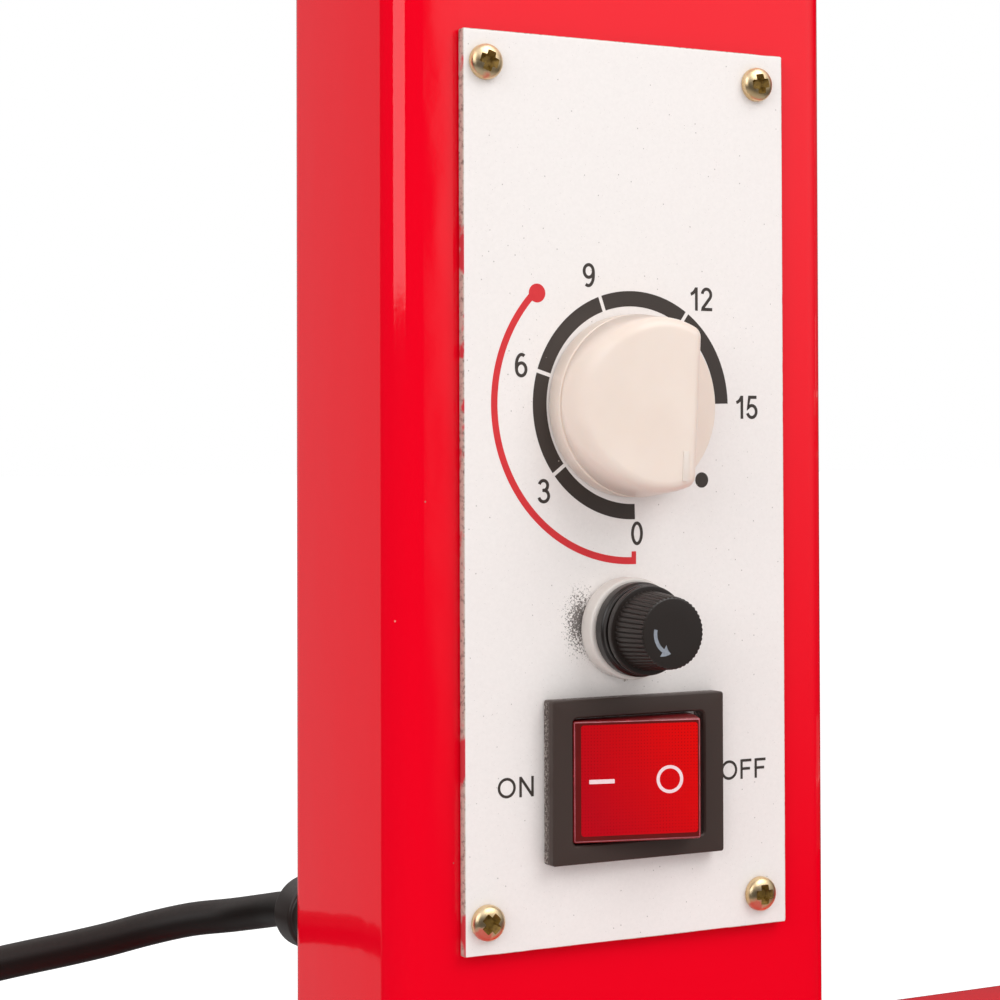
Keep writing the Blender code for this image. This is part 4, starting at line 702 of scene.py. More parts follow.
sawn = Finish("sawn_aluminium_edge", "#BBB2A8", 0.5, 0.1)
streaks = sawn.noise(0.7, 4.0, 0.7, sawn.vector("MULTIPLY", sawn.where, (1, 0.6, 1)))
metal = sawn.mix(sawn.ramp(streaks, 0.50, 0.66, end=0.8), "#C9BFB4", "#5E5046")
# Red patches: partly overspray, partly a painted reflection of the red tube.
sawn.tone(sawn.ramp(sawn.noise(6, 4.0), 0.56, 0.62), metal, "#D0404A")
sawn.relief(streaks, 0.6, 0.05)

# %% Control plate
PLATE_CORNER, PLATE_EDGE, FACE_INSET = in_mm(0.3, 0.12, 0.5)

rings = slab_rings(plate_size.x, plate_size.z, -plate_size.y, 0, PLATE_CORNER, PLATE_EDGE, 2)
rings.append(rounded(plate_size.x, plate_size.z, PLATE_CORNER, 0, FACE_INSET))
bands = [1] * (len(rings) - 2) + [0]
plate = shape("white_plate", rings, [lacquer, sawn], on_panel(0, 0), bands=bands)
settle(plate, "frame", "white_plate", "control_plate")

# %% [markdown]
# The print is screen-printed ink, a film a few hundredths of a millimetre thick. It is real geometry
# here, laid just on the lacquer, because a film with its own edge stays crisp at any distance. The
# dial counts fifteen minutes clockwise over three quarters of a turn, with white gaps every three.

# %% Inks
black_ink = Finish("black_screen_ink", "#3B322D", 0.5)
black_ink.tone(specks(black_ink, 1.1, 0.82, 0.16)[0], "#3B322D", "#9A8F88")
red_ink = clouded("red_screen_ink", "#D8222A", 0.45, 1.5, 3.0, "#CF1F28", "#DE2E33")

# %% Dial
INK, LAYER = 0.03 * MM, 0.15
DIAL_RIGHT, DIAL_UP, PRINT_RISE, RING_SLIDE = in_mm(0.3, 12.95, 0.2, 0.25)
RING_INNER, RING_OUTER, RING_GAP = in_mm(15.45, 17.85, 0.6)
MINUTES, BAND_MINUTES, BAND_STEPS = 15, 3, 24
STEP_DEGREES, DIAL_SLIP = 18, 1.2
ARC_RADIUS, ARC_WIDTH, ARC_STEPS = 24.3 * MM, 1.1 * MM, 80
ARC_DOT, ARC_END = in_mm(-16.5, 30.2), math.radians(271)
TICK_START, TICK_END, TICK = in_mm(0.3, 1.1, 2.0)


def film(name, pairs, ink, place, layer=0, closed=False):
    """A printed band between pairs of inner and outer points. One that crosses another has its own layer."""
    top = INK * (1 + LAYER * layer)
    rings = [[(*a, 0), (*b, 0), (*b, top), (*a, top)] for a, b in pairs]
    return shape(name, rings, [ink], place, closed=closed)


def dot(name, right, up, radius, ink, layer=0):
    """A round printed dot."""
    top = INK * (1 + LAYER * layer)
    settle(turned(name, [(radius, 0), (radius, top)], ink, on_panel(right, up), steps=40), "frame")


def on_dial(minute, radius, shift=0.0):
    """A point of the dial: minute 0 is at the bottom, and minutes run clockwise."""
    angle = -math.pi / 2 - math.radians(minute * STEP_DEGREES - DIAL_SLIP) - shift / radius
    return radius * math.cos(angle), radius * math.sin(angle)


dial_place = on_panel(DIAL_RIGHT, DIAL_UP)
print_place = on_panel(DIAL_RIGHT, DIAL_UP + PRINT_RISE)
ring_place = on_panel(DIAL_RIGHT + RING_SLIDE, DIAL_UP + PRINT_RISE)
for start in range(0, MINUTES, BAND_MINUTES):
    low_gap = RING_GAP / 2 if start else 0
    high_gap = RING_GAP / 2 if start + BAND_MINUTES < MINUTES else 0
    pairs = []
    for i in range(BAND_STEPS + 1):
        share = i / BAND_STEPS
        minute, shift = start + BAND_MINUTES * share, low_gap * (1 - share) - high_gap * share
        pairs.append((on_dial(minute, RING_INNER, shift), on_dial(minute, RING_OUTER, shift)))
    settle(film(f"dial_band_{start}", pairs, black_ink, ring_place), "frame")

dot("manual_dot", *in_mm(13.4, 1.35, 1.22), black_ink)
dot("range_dot", *ARC_DOT, 1.45 * MM, red_ink, 1)
arc_start = math.atan2(ARC_DOT[1] - DIAL_UP - PRINT_RISE, ARC_DOT[0] - DIAL_RIGHT)
pairs = []
for i in range(ARC_STEPS + 1):
    angle = arc_start + (ARC_END - arc_start) * i / ARC_STEPS
    radii = (ARC_RADIUS - ARC_WIDTH / 2, ARC_RADIUS + ARC_WIDTH / 2)
    pairs.append([(r * math.cos(angle), r * math.sin(angle)) for r in radii])
settle(film("range_arc", pairs, red_ink, print_place), "frame")
pairs = [((TICK_START, y), (TICK_END, y)) for y in (0, TICK)]
tick_place = on_panel(0, DIAL_UP + PRINT_RISE - ARC_RADIUS - ARC_WIDTH / 2)
settle(film("range_tick", pairs, red_ink, tick_place, 2), "frame")

# %% [markdown]
# The figures are plain grotesque ones: a pen of even width drawn along arcs and straight lines. Each
# is drawn here on a field one unit high, as its strokes, and the pen's own width is taken off the edge.

# %% Figures
PEN, OVAL_STEPS = 0.135, 36
FIGURE_HEIGHT, WORD_HEIGHT = in_mm(3.7, 3.1)
FIGURE_GAP, WORD_GAP = 0.17, 0.21


def arc(x, y, across, along, start, end, steps=18):
    """Points of an elliptical arc between two angles in degrees."""
    turns = [math.radians(start + (end - start) * i / steps) for i in range(steps + 1)]
    return [(x + across * math.cos(a), y + along * math.sin(a)) for a in turns]


def oval(width, low=PEN / 2, high=1 - PEN / 2):
    """A closed oval that fills a width."""
    return arc(width / 2, (low + high) / 2, width / 2 - PEN / 2, (high - low) / 2, 0, 360, OVAL_STEPS)[:-1]


THREE_TOP = arc(0.27, 0.735, 0.20, 0.205, 165, -80) + [(0.22, 0.53)]
SIX_STEM = arc(0.31, 0.50, 0.25, 0.44, 60, 180) + [(0.06, 0.33)]
GLYPHS = {
    "0": (0.58, [oval(0.58)]),
    "1": (0.36, [[(0.295, 0), (0.295, 1)], arc(-0.12, 1.10, 0.42, 0.42, -72, -20, 8)]),
    "2": (0.58, [arc(0.285, 0.70, 0.22, 0.24, 172, -38) + [(0.10, 0.13), (0.085, 0.065), (0.57, 0.065)]]),
    "3": (0.58, [THREE_TOP, arc(0.28, 0.30, 0.235, 0.24, 95, -165)]),
    "5": (0.58, [[(0.53, 0.94), (0.16, 0.94), (0.085, 0.475)] + arc(0.28, 0.32, 0.235, 0.26, 138, -163)]),
    "6": (0.58, [oval(0.58, 0.0625, 0.59), SIX_STEM]),
    "9": (0.58, [oval(0.58, 0.41, 0.9375), [(0.58 - x, 1 - y) for x, y in SIX_STEM]]),
    "O": (1.00, [oval(1.00)]),
    "N": (0.79, [[(0.06, 0), (0.06, 1)], [(0.73, 0), (0.73, 1)], [(0.075, 0.94), (0.715, 0.06)]]),
    "F": (0.67, [[(0.06, 0), (0.06, 1)], [(0.06, 0.94), (0.67, 0.94)], [(0.06, 0.52), (0.58, 0.52)]]),
}
FIGURES = {
    "0": (1.30, -6.9), "3": (-15.4, -0.15), "6": (-19.3, 19.1), "9": (-7.3, 33.25), "12": (13.5, 30.1),
    "15": (22.1, 12.95),
}


def pen_pairs(line, width, closed):
    """Both edges of a stroke of even width, with its corners mitred."""
    points = [Vector(p) for p in line]
    pairs = []
    for k, point in enumerate(points):
        before = points[k - 1] if k or closed else None
        after = points[(k + 1) % len(points)] if k + 1 < len(points) or closed else None
        ends = [(a, b) for a, b in ((before, point), (point, after)) if a is not None and b is not None]
        ways = [(b - a).normalized() for a, b in ends]
        along = sum(ways, Vector((0, 0))).normalized()
        side = Vector((-along.y, along.x)) * width / 2 / max(along.dot(ways[0]), 0.5)
        pairs.append((tuple(point - side), tuple(point + side)))
    return pairs


def lettering(name, words, right, up, height, gap):
    """Printed figures of a given height, centred on a point of the plate."""
    total = sum(GLYPHS[c][0] for c in words) + gap * (len(words) - 1)
    start, strokes = -total / 2, []
    place = on_panel(right * MM, up * MM) @ Matrix.Diagonal((height, height, 1, 1))
    for character in words:
        wide, lines = GLYPHS[character]
        for line in lines:
            closed, layer = len(line) == OVAL_STEPS, len(strokes)
            moved = [(x + start, y - 0.5) for x, y in line]
            edges = pen_pairs(moved, PEN, closed)
            strokes.append(film(f"{name}_{layer}", edges, black_ink, place, layer, closed))
        start += wide + gap
    settle(joined(name, strokes), "frame")


for words, (right, up) in FIGURES.items():
    lettering(f"figure_{words}", words, right, up, FIGURE_HEIGHT, FIGURE_GAP)
lettering("word_on", "ON", -20.47, -45.05, WORD_HEIGHT, WORD_GAP)
lettering("word_off", "OFF", 21.1, -44.95, WORD_HEIGHT, WORD_GAP)

# %% [markdown]
# The plate is held by small cross-recess pan heads in yellow-passivated zinc: a metal whose thin
# chromate film runs from straw to pink. The recess is cut with a tapered cross, as the punch makes it,
# and its dark floor is painted shade.
# Red on the lower left of the heads is partly enamel that has crept onto them and partly a painted reflection
# of the red tube.

# %% Yellow zinc
RED_PATCH_OUT, RED_PATCH_WOBBLE, RED_PATCH_EDGE, RED_PATCH_DEPTH = 1.2, 1.2 * MM, 0.3 * MM, 0.85


def yellow_zinc(name, right, up, radius):
    """The metal, with a red patch of its own round a point of the plate: partly paint, partly a painted
    reflection of the red tube.
    """
    zinc = Finish(name, "#DCC28C", 0.33, 1.0)
    straw = zinc.mix(zinc.noise(1.8), "#D4B070", "#F2DFC0")
    away = zinc.vector("DISTANCE", zinc.where, panel_point(right, up, RED_PATCH_OUT))
    wobble = zinc.math("MULTIPLY_ADD", zinc.noise(1.0, 3.0), RED_PATCH_WOBBLE, -RED_PATCH_WOBBLE / 2)
    edge = (radius * MM + RED_PATCH_EDGE, radius * MM - RED_PATCH_EDGE)
    # The red patch: partly crept enamel, partly a painted reflection of the red tube.
    paint_and_reflection = zinc.ramp(zinc.math("ADD", away, wobble), *edge, end=RED_PATCH_DEPTH)
    zinc.tone(paint_and_reflection, straw, "#C83A34")
    zinc.feed(Metallic=zinc.math("SUBTRACT", 1.0, paint_and_reflection))
    zinc.relief(zinc.noise(0.5, 3.0), 0.4, 0.03)
    return zinc


# The recess is coloured dark brown as painted shade.
recess = clouded("recess_painted_shade", "#5F3E10", 0.45, 0.4, 3.0, "#4A3310", "#A8853A", metallic=0.5)

# %% Cross-recess screws
PLATE_SCREW_SIZES = in_mm(2.72, 1.9, 1.5, 7.5)
HEAD_SIDE, CROWN_STEPS = 0.29, 12
# The cross at its foot and mouth: width, depth and corner in head radii, and level in head heights.
CROSS = ((0.60, 0.34, 0.02, 0.4), (1.34, 0.58, 0.04, 1.05))
PLATE_SCREWS = (
    ("1", -25.5, 65.0, -18, -0.3, -2.0, 0.5),
    ("2", 24.0, 65.0, 9, 0, 0, -5),
    ("3", -25.5, -65.0, 45, -1.3, -1.7, 1.4),
    ("4", 24.0, -65.0, 0, -1.3, -1.6, 1.2),
)


def pan_head(name, metal, place, radius, height, shank, length, turn):
    """A pan head on its shank, facing +Z, with a punched cross turned by so many degrees."""
    side = HEAD_SIDE * height
    turns = [math.pi / 2 * (1 - i / CROWN_STEPS) for i in range(CROWN_STEPS)]
    low = 0.03 * height
    profile = [(shank, -length), (shank, low), (0.96 * radius, low), (radius, 0.08 * height)]
    profile += [(radius * math.sin(a), side + (height - side) * math.cos(a) ** 0.8) for a in turns]
    screw = turned(name, profile + [(0.01 * radius, height)], metal, place, steps=64)
    wings = []
    for quarter_turn in (0, 90):
        spin = place @ Matrix.Rotation(math.radians(turn + quarter_turn), 4, "Z")
        rings = [rounded(w * radius, d * radius, c * radius, z * height, 0, 3) for w, d, c, z in CROSS]
        wings.append(shape("wing", rings, [recess], spin))
    cut_away(screw, *wings)
    return screw


for number, right, up, turn, patch_right, patch_up, patch_radius in PLATE_SCREWS:
    zinc = yellow_zinc(f"yellow_zinc_{number}", right + patch_right, up + patch_up, patch_radius)
    place = on_panel(right * MM, up * MM)
    screw = pan_head(f"pan_head_{number}", zinc, place, *PLATE_SCREW_SIZES, turn)
    settle(screw, "frame", "yellow_zinc", f"plate_screw_{number}")

# %% [markdown]
# The timer's knob is moulded urea, a warm ivory that lets a little light in. It is a D in plan: a
# round body with one flat side, on a thin disc. Behind the flat the body is level, then falls away
# like a dome, so its height depends only on how far a point is from the flat. All its edges are
# broken. It stands a few degrees off square, and an ochre line of painted shade lies in the groove
# over the disc.

# %% Ivory plastic
ivory = clouded(
    "moulded_ivory_urea", "#F3E2D6", 0.34, 9, 2.0, "#E7D5C8", "#F0E2D7", IOR=1.5,
    Subsurface_Weight=0.18, Subsurface_Scale=0.002, Subsurface_Radius=(1.0, 0.7, 0.5),
)
ivory.relief(ivory.noise(2.5), 0.3, 0.04)
# The groove wall is painted ochre as shade.
groove_shade = clouded("ivory_groove_painted_shade", "#DCC5A0", 0.5, 5, 3.0, "#E6D5B8", "#C69C80")

# %% Timer knob
KNOB_GAP, DISC_RADIUS, DISC_TOP, DISC_EDGE, SHAFT_BORE, DISC_SHOULDER = in_mm(0.3, 14.2, 3.7, 0.3, 3.3, 1.5)
KNOB_RADIUS, KNOB_TOP, KNOB_FLAT, PLAN_CORNER = in_mm(14.15, 11.8, 7.1, 2.6)
GROOVE_DEPTH, GROOVE_TOP, GROOVE_LIP, GROOVE_EDGE = in_mm(0.25, 3.95, 0.1, 0.2)
BODY_TAPER, BODY_EDGE, EDGE_SHARE = 0.9 * MM, 1.6 * MM, 0.6
DOME_START, DOME_LENGTH, DOME_FOOT, DOME_BEND = *in_mm(-3.5, 10.7, 0.5), 0.72
FLAT_STEPS, CORNER_STEPS, ROUND_STEPS, EDGE_STEPS, TOP_STEPS = 36, 12, 96, 13, 40
KNOB_SLIDE, KNOB_TURN = in_mm(-0.8, 0.05), math.radians(-3.0)
MARK_RIGHT, MARK_UP, MARK_WIDTH, MARK_LENGTH, MARK_CORNER = in_mm(3.75, -9.2, 1.0, 4.6, 0.15)
MARK_LOW, MARK_HIGH, MARK_EDGE = in_mm(-0.1, 0.14, 0.06)


def d_outline(radius, flat, bend):
    """Points round a D with rounded corners, the middle of its flat side to the right."""
    rise = math.sqrt((radius - bend) ** 2 - (flat - bend) ** 2)
    swing = math.atan2(rise, flat - bend)
    corner = [swing * i / CORNER_STEPS for i in range(CORNER_STEPS + 1)]
    away = [swing + (2 * math.pi - 2 * swing) * i / ROUND_STEPS for i in range(1, ROUND_STEPS)]
    points = [(flat, rise * (2 * i / FLAT_STEPS - 1)) for i in range(FLAT_STEPS)]
    points += [(flat - bend + bend * math.cos(a), rise + bend * math.sin(a)) for a in corner]
    points += [(radius * math.cos(a), radius * math.sin(a)) for a in away]
    back = [a - swing for a in corner]
    return points + [(flat - bend + bend * math.cos(a), bend * math.sin(a) - rise) for a in back]


def knob_height(x):
    """How high the body's top is: level behind the flat, then a quarter of an ellipse down to the foot."""
    past = min(1.0, max(0.0, (DOME_START - x) / DOME_LENGTH))
    foot = GROOVE_TOP + DOME_FOOT
    return foot + (KNOB_TOP - foot) * (1 - past**2) ** DOME_BEND


def knob_rings():
    """All rings of the knob, from the disc's underside to the middle of its top, with the disc's count."""
    outline = d_outline(KNOB_RADIUS, KNOB_FLAT, PLAN_CORNER)
    angles = [math.atan2(y, x) for x, y in outline]
    shoulder = KNOB_RADIUS - DISC_SHOULDER
    disc = [(SHAFT_BORE, KNOB_GAP), (DISC_RADIUS, KNOB_GAP), (DISC_RADIUS, DISC_TOP), (shoulder, DISC_TOP)]
    rings = [[(r * math.cos(a), r * math.sin(a), z) for a in angles] for r, z in soft(disc, DISC_EDGE)[:-1]]
    disc_rings = len(rings)
    inward = []
    for before, after in zip(outline[-1:] + outline, outline[1:] + outline[:1]):
        along = (Vector(after) - Vector(before)).normalized()
        inward.append((-along.y, along.x))

    def body_ring(draw_in, levels):
        steps = zip(outline, inward, draw_in, levels)
        return [(x + nx * d, y + ny * d, z) for (x, y), (nx, ny), d, z in steps]

    count = len(outline)
    groove = [(DISC_TOP, GROOVE_DEPTH), (GROOVE_TOP - GROOVE_EDGE, GROOVE_DEPTH), (GROOVE_TOP, GROOVE_LIP)]
    for level, inset in groove + [(GROOVE_TOP + GROOVE_EDGE, 0)]:
        rings.append(body_ring([inset] * count, [level] * count))
    drops = [min(BODY_EDGE, EDGE_SHARE * (knob_height(x) - GROOVE_TOP)) for x, _ in outline]
    for i in range(EDGE_STEPS + 1):
        turn = math.pi / 2 * i / EDGE_STEPS
        edge, tapers = BODY_EDGE * (1 - math.cos(turn)), [0.0] * count
        # The taper depends on the height and the height on the taper, so both are found in three rounds.
        for _ in range(3):
            spots = [x + nx * (edge + t) for (x, _), (nx, _), t in zip(outline, inward, tapers)]
            levels = [knob_height(x) - drop * (1 - math.sin(turn)) for x, drop in zip(spots, drops)]
            tapers = [BODY_TAPER * (z - GROOVE_TOP) / (KNOB_TOP - GROOVE_TOP) for z in levels]
        rings.append(body_ring([edge + t for t in tapers], levels))
    rim = rings[-1]
    for i in range(1, TOP_STEPS):
        share = 1 - i / TOP_STEPS
        rings.append([(x * share, y * share, knob_height(x * share)) for x, y, _ in rim])
    return rings, disc_rings


knob_place = dial_place @ at(*KNOB_SLIDE) @ Matrix.Rotation(KNOB_TURN, 4, "Z")
rings, disc_rings = knob_rings()
bands = [0] * disc_rings + [1, 1] + [0] * (len(rings) - disc_rings - 3)
knob = shape("ivory_knob", rings, [ivory, groove_shade], knob_place, bands=bands)
settle(knob, "timer_knob", "ivory_plastic", "timer_knob", smooth=40)
rings = slab_rings(MARK_WIDTH, MARK_LENGTH, MARK_LOW, MARK_HIGH, MARK_CORNER, MARK_EDGE, 2)
mark = shape("pointer_rib", rings, [ivory], knob_place @ at(MARK_RIGHT, MARK_UP, KNOB_TOP))
settle(mark, "timer_knob", "ivory_plastic")

# %% [markdown]
# The fuse holder is three mouldings. A soft white nylon washer seals it to the plate and glows a
# little where light enters it. The flange and the ribbed cap are black glass-filled nylon, dull on
# the cap's face and brighter on the edges of the ribs, with pale flecks between them that are partly
# dust and partly painted highlight.

# %% White and black nylon
white_nylon = clouded(
    "natural_nylon", "#EAE4E0", 0.38, 3, 2.0, "#D0C9C3", "#DDD5CF", IOR=1.53,
    Subsurface_Weight=0.12, Subsurface_Scale=0.003, Subsurface_Radius=(1.0, 0.9, 0.8),
)


def dust_and_highlight_black(name, colour, roughness, left, top, lowest=6.0):
    """Black plastic with a fine moulded grain, and pale flecks near the plate on what faces up or left: partly
    dust, partly painted highlight where the lamps fall.
    """
    black = Finish(name, colour, roughness, IOR=1.5)
    facing = black.axes(black.coordinates["Normal"])
    face, reach = PLATE_FACE, lowest * MM
    low_down = black.ramp(black.axes(black.where)["Y"], face - reach, face - 0.2 * reach)
    # Pale flecks on faces turned left and up: dust, and a painted highlight where the lamps fall.
    left_dust_and_highlight = black.math("MULTIPLY", black.ramp(facing["X"], -0.5, -0.95, end=left), low_down)
    top_dust_and_highlight = black.math("MULTIPLY", black.ramp(facing["Z"], 0.5, 0.95, end=top), low_down)
    flecks = black.ramp(black.noise(0.45, 4.0, 0.8), 0.46, 0.62)
    amount = black.math("MULTIPLY", black.math("MAXIMUM", left_dust_and_highlight, top_dust_and_highlight), flecks)
    black.tone(amount, colour, "#C9BFB8")
    black.relief(black.noise(0.3), 0.3, 0.02)
    return black


cap_nylon = dust_and_highlight_black("ribbed_black_nylon", "#241C18", 0.40, 0.12, 0.15)
flange_nylon = dust_and_highlight_black("flange_black_nylon", "#1A1411", 0.32, 0.25, 0.5, 4.0)
bezel_nylon = dust_and_highlight_black("moulded_black_nylon", "#3C2D27", 0.50, 0.9, 0.9, 2.0)
gland_nylon = dust_and_highlight_black("relief_black_nylon", "#241814", 0.42, 0.0, 0.1)

# %% Fuse holder
FUSE_RIGHT, FUSE_UP, SEAT, WASHER_EDGE, FLANGE_EDGE = in_mm(-1.3, -21.5, 0.3, 0.5, 0.2)
WASHER_MORE, FLANGE_MORE, CAP_LESS = in_mm(0.8, 1.2, 0.5)
WASHER_RADIUS, WASHER_BORE, FLANGE_RADIUS, FLANGE_STEP = in_mm(7.9, 6.5, 7.3, 0.3)
RIM_RADIUS, RIM_HEIGHT, ROOT_RADIUS, TIP_RADIUS, FACE_RADIUS = in_mm(6.9, 1.1, 6.1, 5.5, 5.2)
BARREL, MOUTH, MOUTH_DEPTH, LINK_BORE, LINK_SEAT = in_mm(6.3, 5.75, 5, 3.9, 2)
CAP_BORE, CAP_STEM, STEM_DEPTH, BORE_DEPTH, RIB_DEPTH, RIB_RAISE = in_mm(3.5, 4.6, 4.6, 2.7, 0.28, 0.25)
RIBS, RIB_POINTS, RIB_BEND = 46, 8, 0.7


def front_of(node):
    """How far a node stands out of the control plate."""
    return PLATE_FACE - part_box(node)[0].y


def ribbed_ring(radius, level, depth):
    """A ring with rounded ribs all round."""
    ring = []
    for i in range(RIBS * RIB_POINTS):
        wave = abs(math.sin(math.pi * i / RIB_POINTS)) ** RIB_BEND
        reach = radius - depth * (1 - wave)
        angle = 2 * math.pi * i / (RIBS * RIB_POINTS)
        ring.append((reach * math.cos(angle), reach * math.sin(angle), level))
    return ring


fuse_place = on_panel(FUSE_RIGHT, FUSE_UP)
washer_front = front_of("fuse_washer") + WASHER_MORE
flange_front = front_of("fuse_body") + FLANGE_MORE
cap_front = front_of("fuse_cap") - CAP_LESS
cap_back = flange_front + SEAT
profile = [(WASHER_BORE, SEAT), (WASHER_RADIUS, SEAT)]
profile += [(WASHER_RADIUS, washer_front), (WASHER_BORE, washer_front)]
washer = turned("sealing_washer", profile, white_nylon, fuse_place, WASHER_EDGE, closed=True)
settle(washer, "frame", "white_nylon", "fuse_washer")

barrel_back = PLATE_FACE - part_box("fuse_body")[1].y
mouth_floor, inner = flange_front - MOUTH_DEPTH, FLANGE_RADIUS - FLANGE_STEP
flange_low, step = washer_front + SEAT, (flange_front - washer_front) / 2
profile = [(LINK_BORE, barrel_back + LINK_SEAT), (LINK_BORE, mouth_floor), (MOUTH, mouth_floor)]
outside = [
    (MOUTH, flange_front), (inner, flange_front), (inner, flange_front - 0.4 * step),
    (FLANGE_RADIUS, flange_front - 0.6 * step), (FLANGE_RADIUS, flange_low), (BARREL, flange_low),
    (BARREL, barrel_back),
]
flange = turned("fuse_flange", profile + soft(outside, FLANGE_EDGE), flange_nylon, fuse_place)
settle(flange, "frame", "black_nylon", "fuse_body")

stem_low = flange_front - STEM_DEPTH
rings = [ribbed_ring(CAP_BORE, level, 0) for level in (flange_front + BORE_DEPTH, stem_low)]
rings += [ribbed_ring(CAP_STEM, level, 0) for level in (stem_low, cap_back)]
rim_top = cap_back + RIM_HEIGHT
rim = [(RIM_RADIUS - MM, cap_back), (RIM_RADIUS, cap_back), (RIM_RADIUS, rim_top), (ROOT_RADIUS, rim_top)]
rings += [ribbed_ring(radius, level, 0) for radius, level in soft(rim, RIB_RAISE)]
rings.append(ribbed_ring(ROOT_RADIUS, rim_top + RIB_RAISE, RIB_DEPTH))
for radius, drop, depth in (
    (TIP_RADIUS, 0.3, RIB_DEPTH), (TIP_RADIUS - 0.06 * MM, 0.12, 0.8 * RIB_DEPTH),
    (FACE_RADIUS + 0.08 * MM, 0.05, 0), (FACE_RADIUS, 0.01, 0), (FACE_RADIUS - 0.1 * MM, 0, 0),
    (FACE_RADIUS * 0.5, 0, 0),
):
    rings.append(ribbed_ring(radius, cap_front - drop * MM, depth))
settle(shape("ribbed_cap", rings, [cap_nylon], fuse_place), "fuse_cap", "black_nylon", "fuse_cap")

# %% Arrow on the cap
ARROW_RADIUS, ARROW_WIDTH, HEAD_WIDTH = in_mm(3.1, 0.6, 2.0)
ARROW_START, HEAD_START, ARROW_END = (math.radians(a) for a in (168, 236, 262))
ARROW_STEPS, HEAD_STEPS = 20, 5

pad_ink = clouded("grey_pad_ink", "#8A919C", 0.5, 0.5, 3.0, "#6F747C", "#9DA5B0")
shares = [i / ARROW_STEPS for i in range(ARROW_STEPS + 1)]
marks = [(ARROW_START + (HEAD_START - ARROW_START) * share, ARROW_WIDTH / 2) for share in shares]
for share in [i / HEAD_STEPS for i in range(HEAD_STEPS + 1)]:
    marks.append((HEAD_START + (ARROW_END - HEAD_START) * share, HEAD_WIDTH / 2 * (1 - 0.97 * share)))
pairs = []
for angle, half in marks:
    radii = (ARROW_RADIUS - half, ARROW_RADIUS + half)
    pairs.append([(r * math.cos(angle), r * math.sin(angle)) for r in radii])
settle(film("turn_arrow", pairs, pad_ink, on_panel(FUSE_RIGHT, FUSE_UP, cap_front)), "fuse_cap")

# %% [markdown]
# The rocker switch is a black frame round a red polycarbonate lens. Light falls through the clear
# skin onto a fine waffle grid inside, and the lens walls look dark from in front, so the face is a
# bright field with a dark border. Here the lens is opaque, so its face is painted brighter towards
# the right as light falls on it, the dark border is painted shade, and its rounded edge carries a
# painted highlight. The rocker stands as photographed, its left side pressed in.

# %% Switch housing
SWITCH_RIGHT, SWITCH_UP = in_mm(-0.15, -44.55)
BEZEL_W, BEZEL_H, BEZEL_RISE, BEZEL_CORNER, BEZEL_EDGE = in_mm(31.0, 25.1, 3.0, 0.45, 0.22)
POCKET_W, POCKET_H, POCKET_FLOOR, POCKET_CORNER, POCKET_LIP = in_mm(23.8, 19.4, -11.5, 0.7, 0.25)
BODY_W, BODY_H, BODY_BACK = in_mm(28.0, 21.4, -26.0)

rings = [rounded(BODY_W, BODY_H, BEZEL_CORNER, z) for z in (BODY_BACK, SEAT)]
for level, inset in [(SEAT, 0)] + top_edge(BEZEL_RISE, BEZEL_EDGE):
    rings.append(rounded(BEZEL_W, BEZEL_H, BEZEL_CORNER, level, inset))
for level, inset in ((BEZEL_RISE, -POCKET_LIP), (BEZEL_RISE - POCKET_LIP, 0), (POCKET_FLOOR, 0)):
    rings.append(rounded(POCKET_W, POCKET_H, POCKET_CORNER, level, inset))
housing = shape("switch_housing", rings, [bezel_nylon], on_panel(SWITCH_RIGHT, SWITCH_UP))
settle(housing, "frame", "black_nylon", "switch_body")

# %% Red lens
GRID = 0.5
ROCKER_TILT = math.radians(14.3)
PIVOT_OUT = -2.35 * MM

rocker_place = on_panel(SWITCH_RIGHT, SWITCH_UP, PIVOT_OUT) @ Matrix.Rotation(-ROCKER_TILT, 4, "Y")
lens = Finish("red_polycarbonate_face", "#C80010", 0.2, IOR=1.58, Specular_IOR_Level=0.2)
own = lens.vector("ADD", lens.where, tuple(-rocker_place.translation))
level_with_face = {"Vector": own, "Angle": ROCKER_TILT}
across = lens.axes(lens.add("ShaderNodeVectorRotate", level_with_face, rotation_type="Z_AXIS").outputs[0])
waves = []
for axis in ("X", "Z"):
    phase = lens.math("MULTIPLY", across[axis], 2 * math.pi * 1000 / GRID)
    waves.append(lens.ramp(lens.math("SINE", phase), 0.2))
patches = lens.ramp(lens.noise(6), 0.35, 0.65, 0.35, 0.9)
# The face is painted brighter towards the right, as light falls on the tilted rocker.
painted_light_lean = lens.ramp(lens.math("MULTIPLY_ADD", across["Z"], 0.6, across["X"]), *in_mm(-10, 12))
lens.tone(lens.fold("MULTIPLY", *waves, patches), lens.mix(painted_light_lean, "#B80014", "#DC0000"), "#860008")
lens_wall = Finish("red_polycarbonate_wall", "#8A0A12", 0.3, IOR=1.58)
lens_wall.tone(lens_wall.ramp(lens_wall.noise(0.7, 3.0, 0.7), 0.55, 0.75), "#78080E", "#B8323C")
# The border is painted dark as shade, and the edge below it gets a painted highlight.
border = clouded("lens_border_painted_shade", "#5E1712", 0.18, 4, 2.0, "#4E1813", "#761214", IOR=1.58, Coat_Weight=0.3)
lens_edge_highlight = clouded(
    "lens_edge_painted_highlight", "#C8505A", 0.14, 2, 3.0, "#80202A", "#D8808A", IOR=1.58, Coat_Weight=0.5,
)

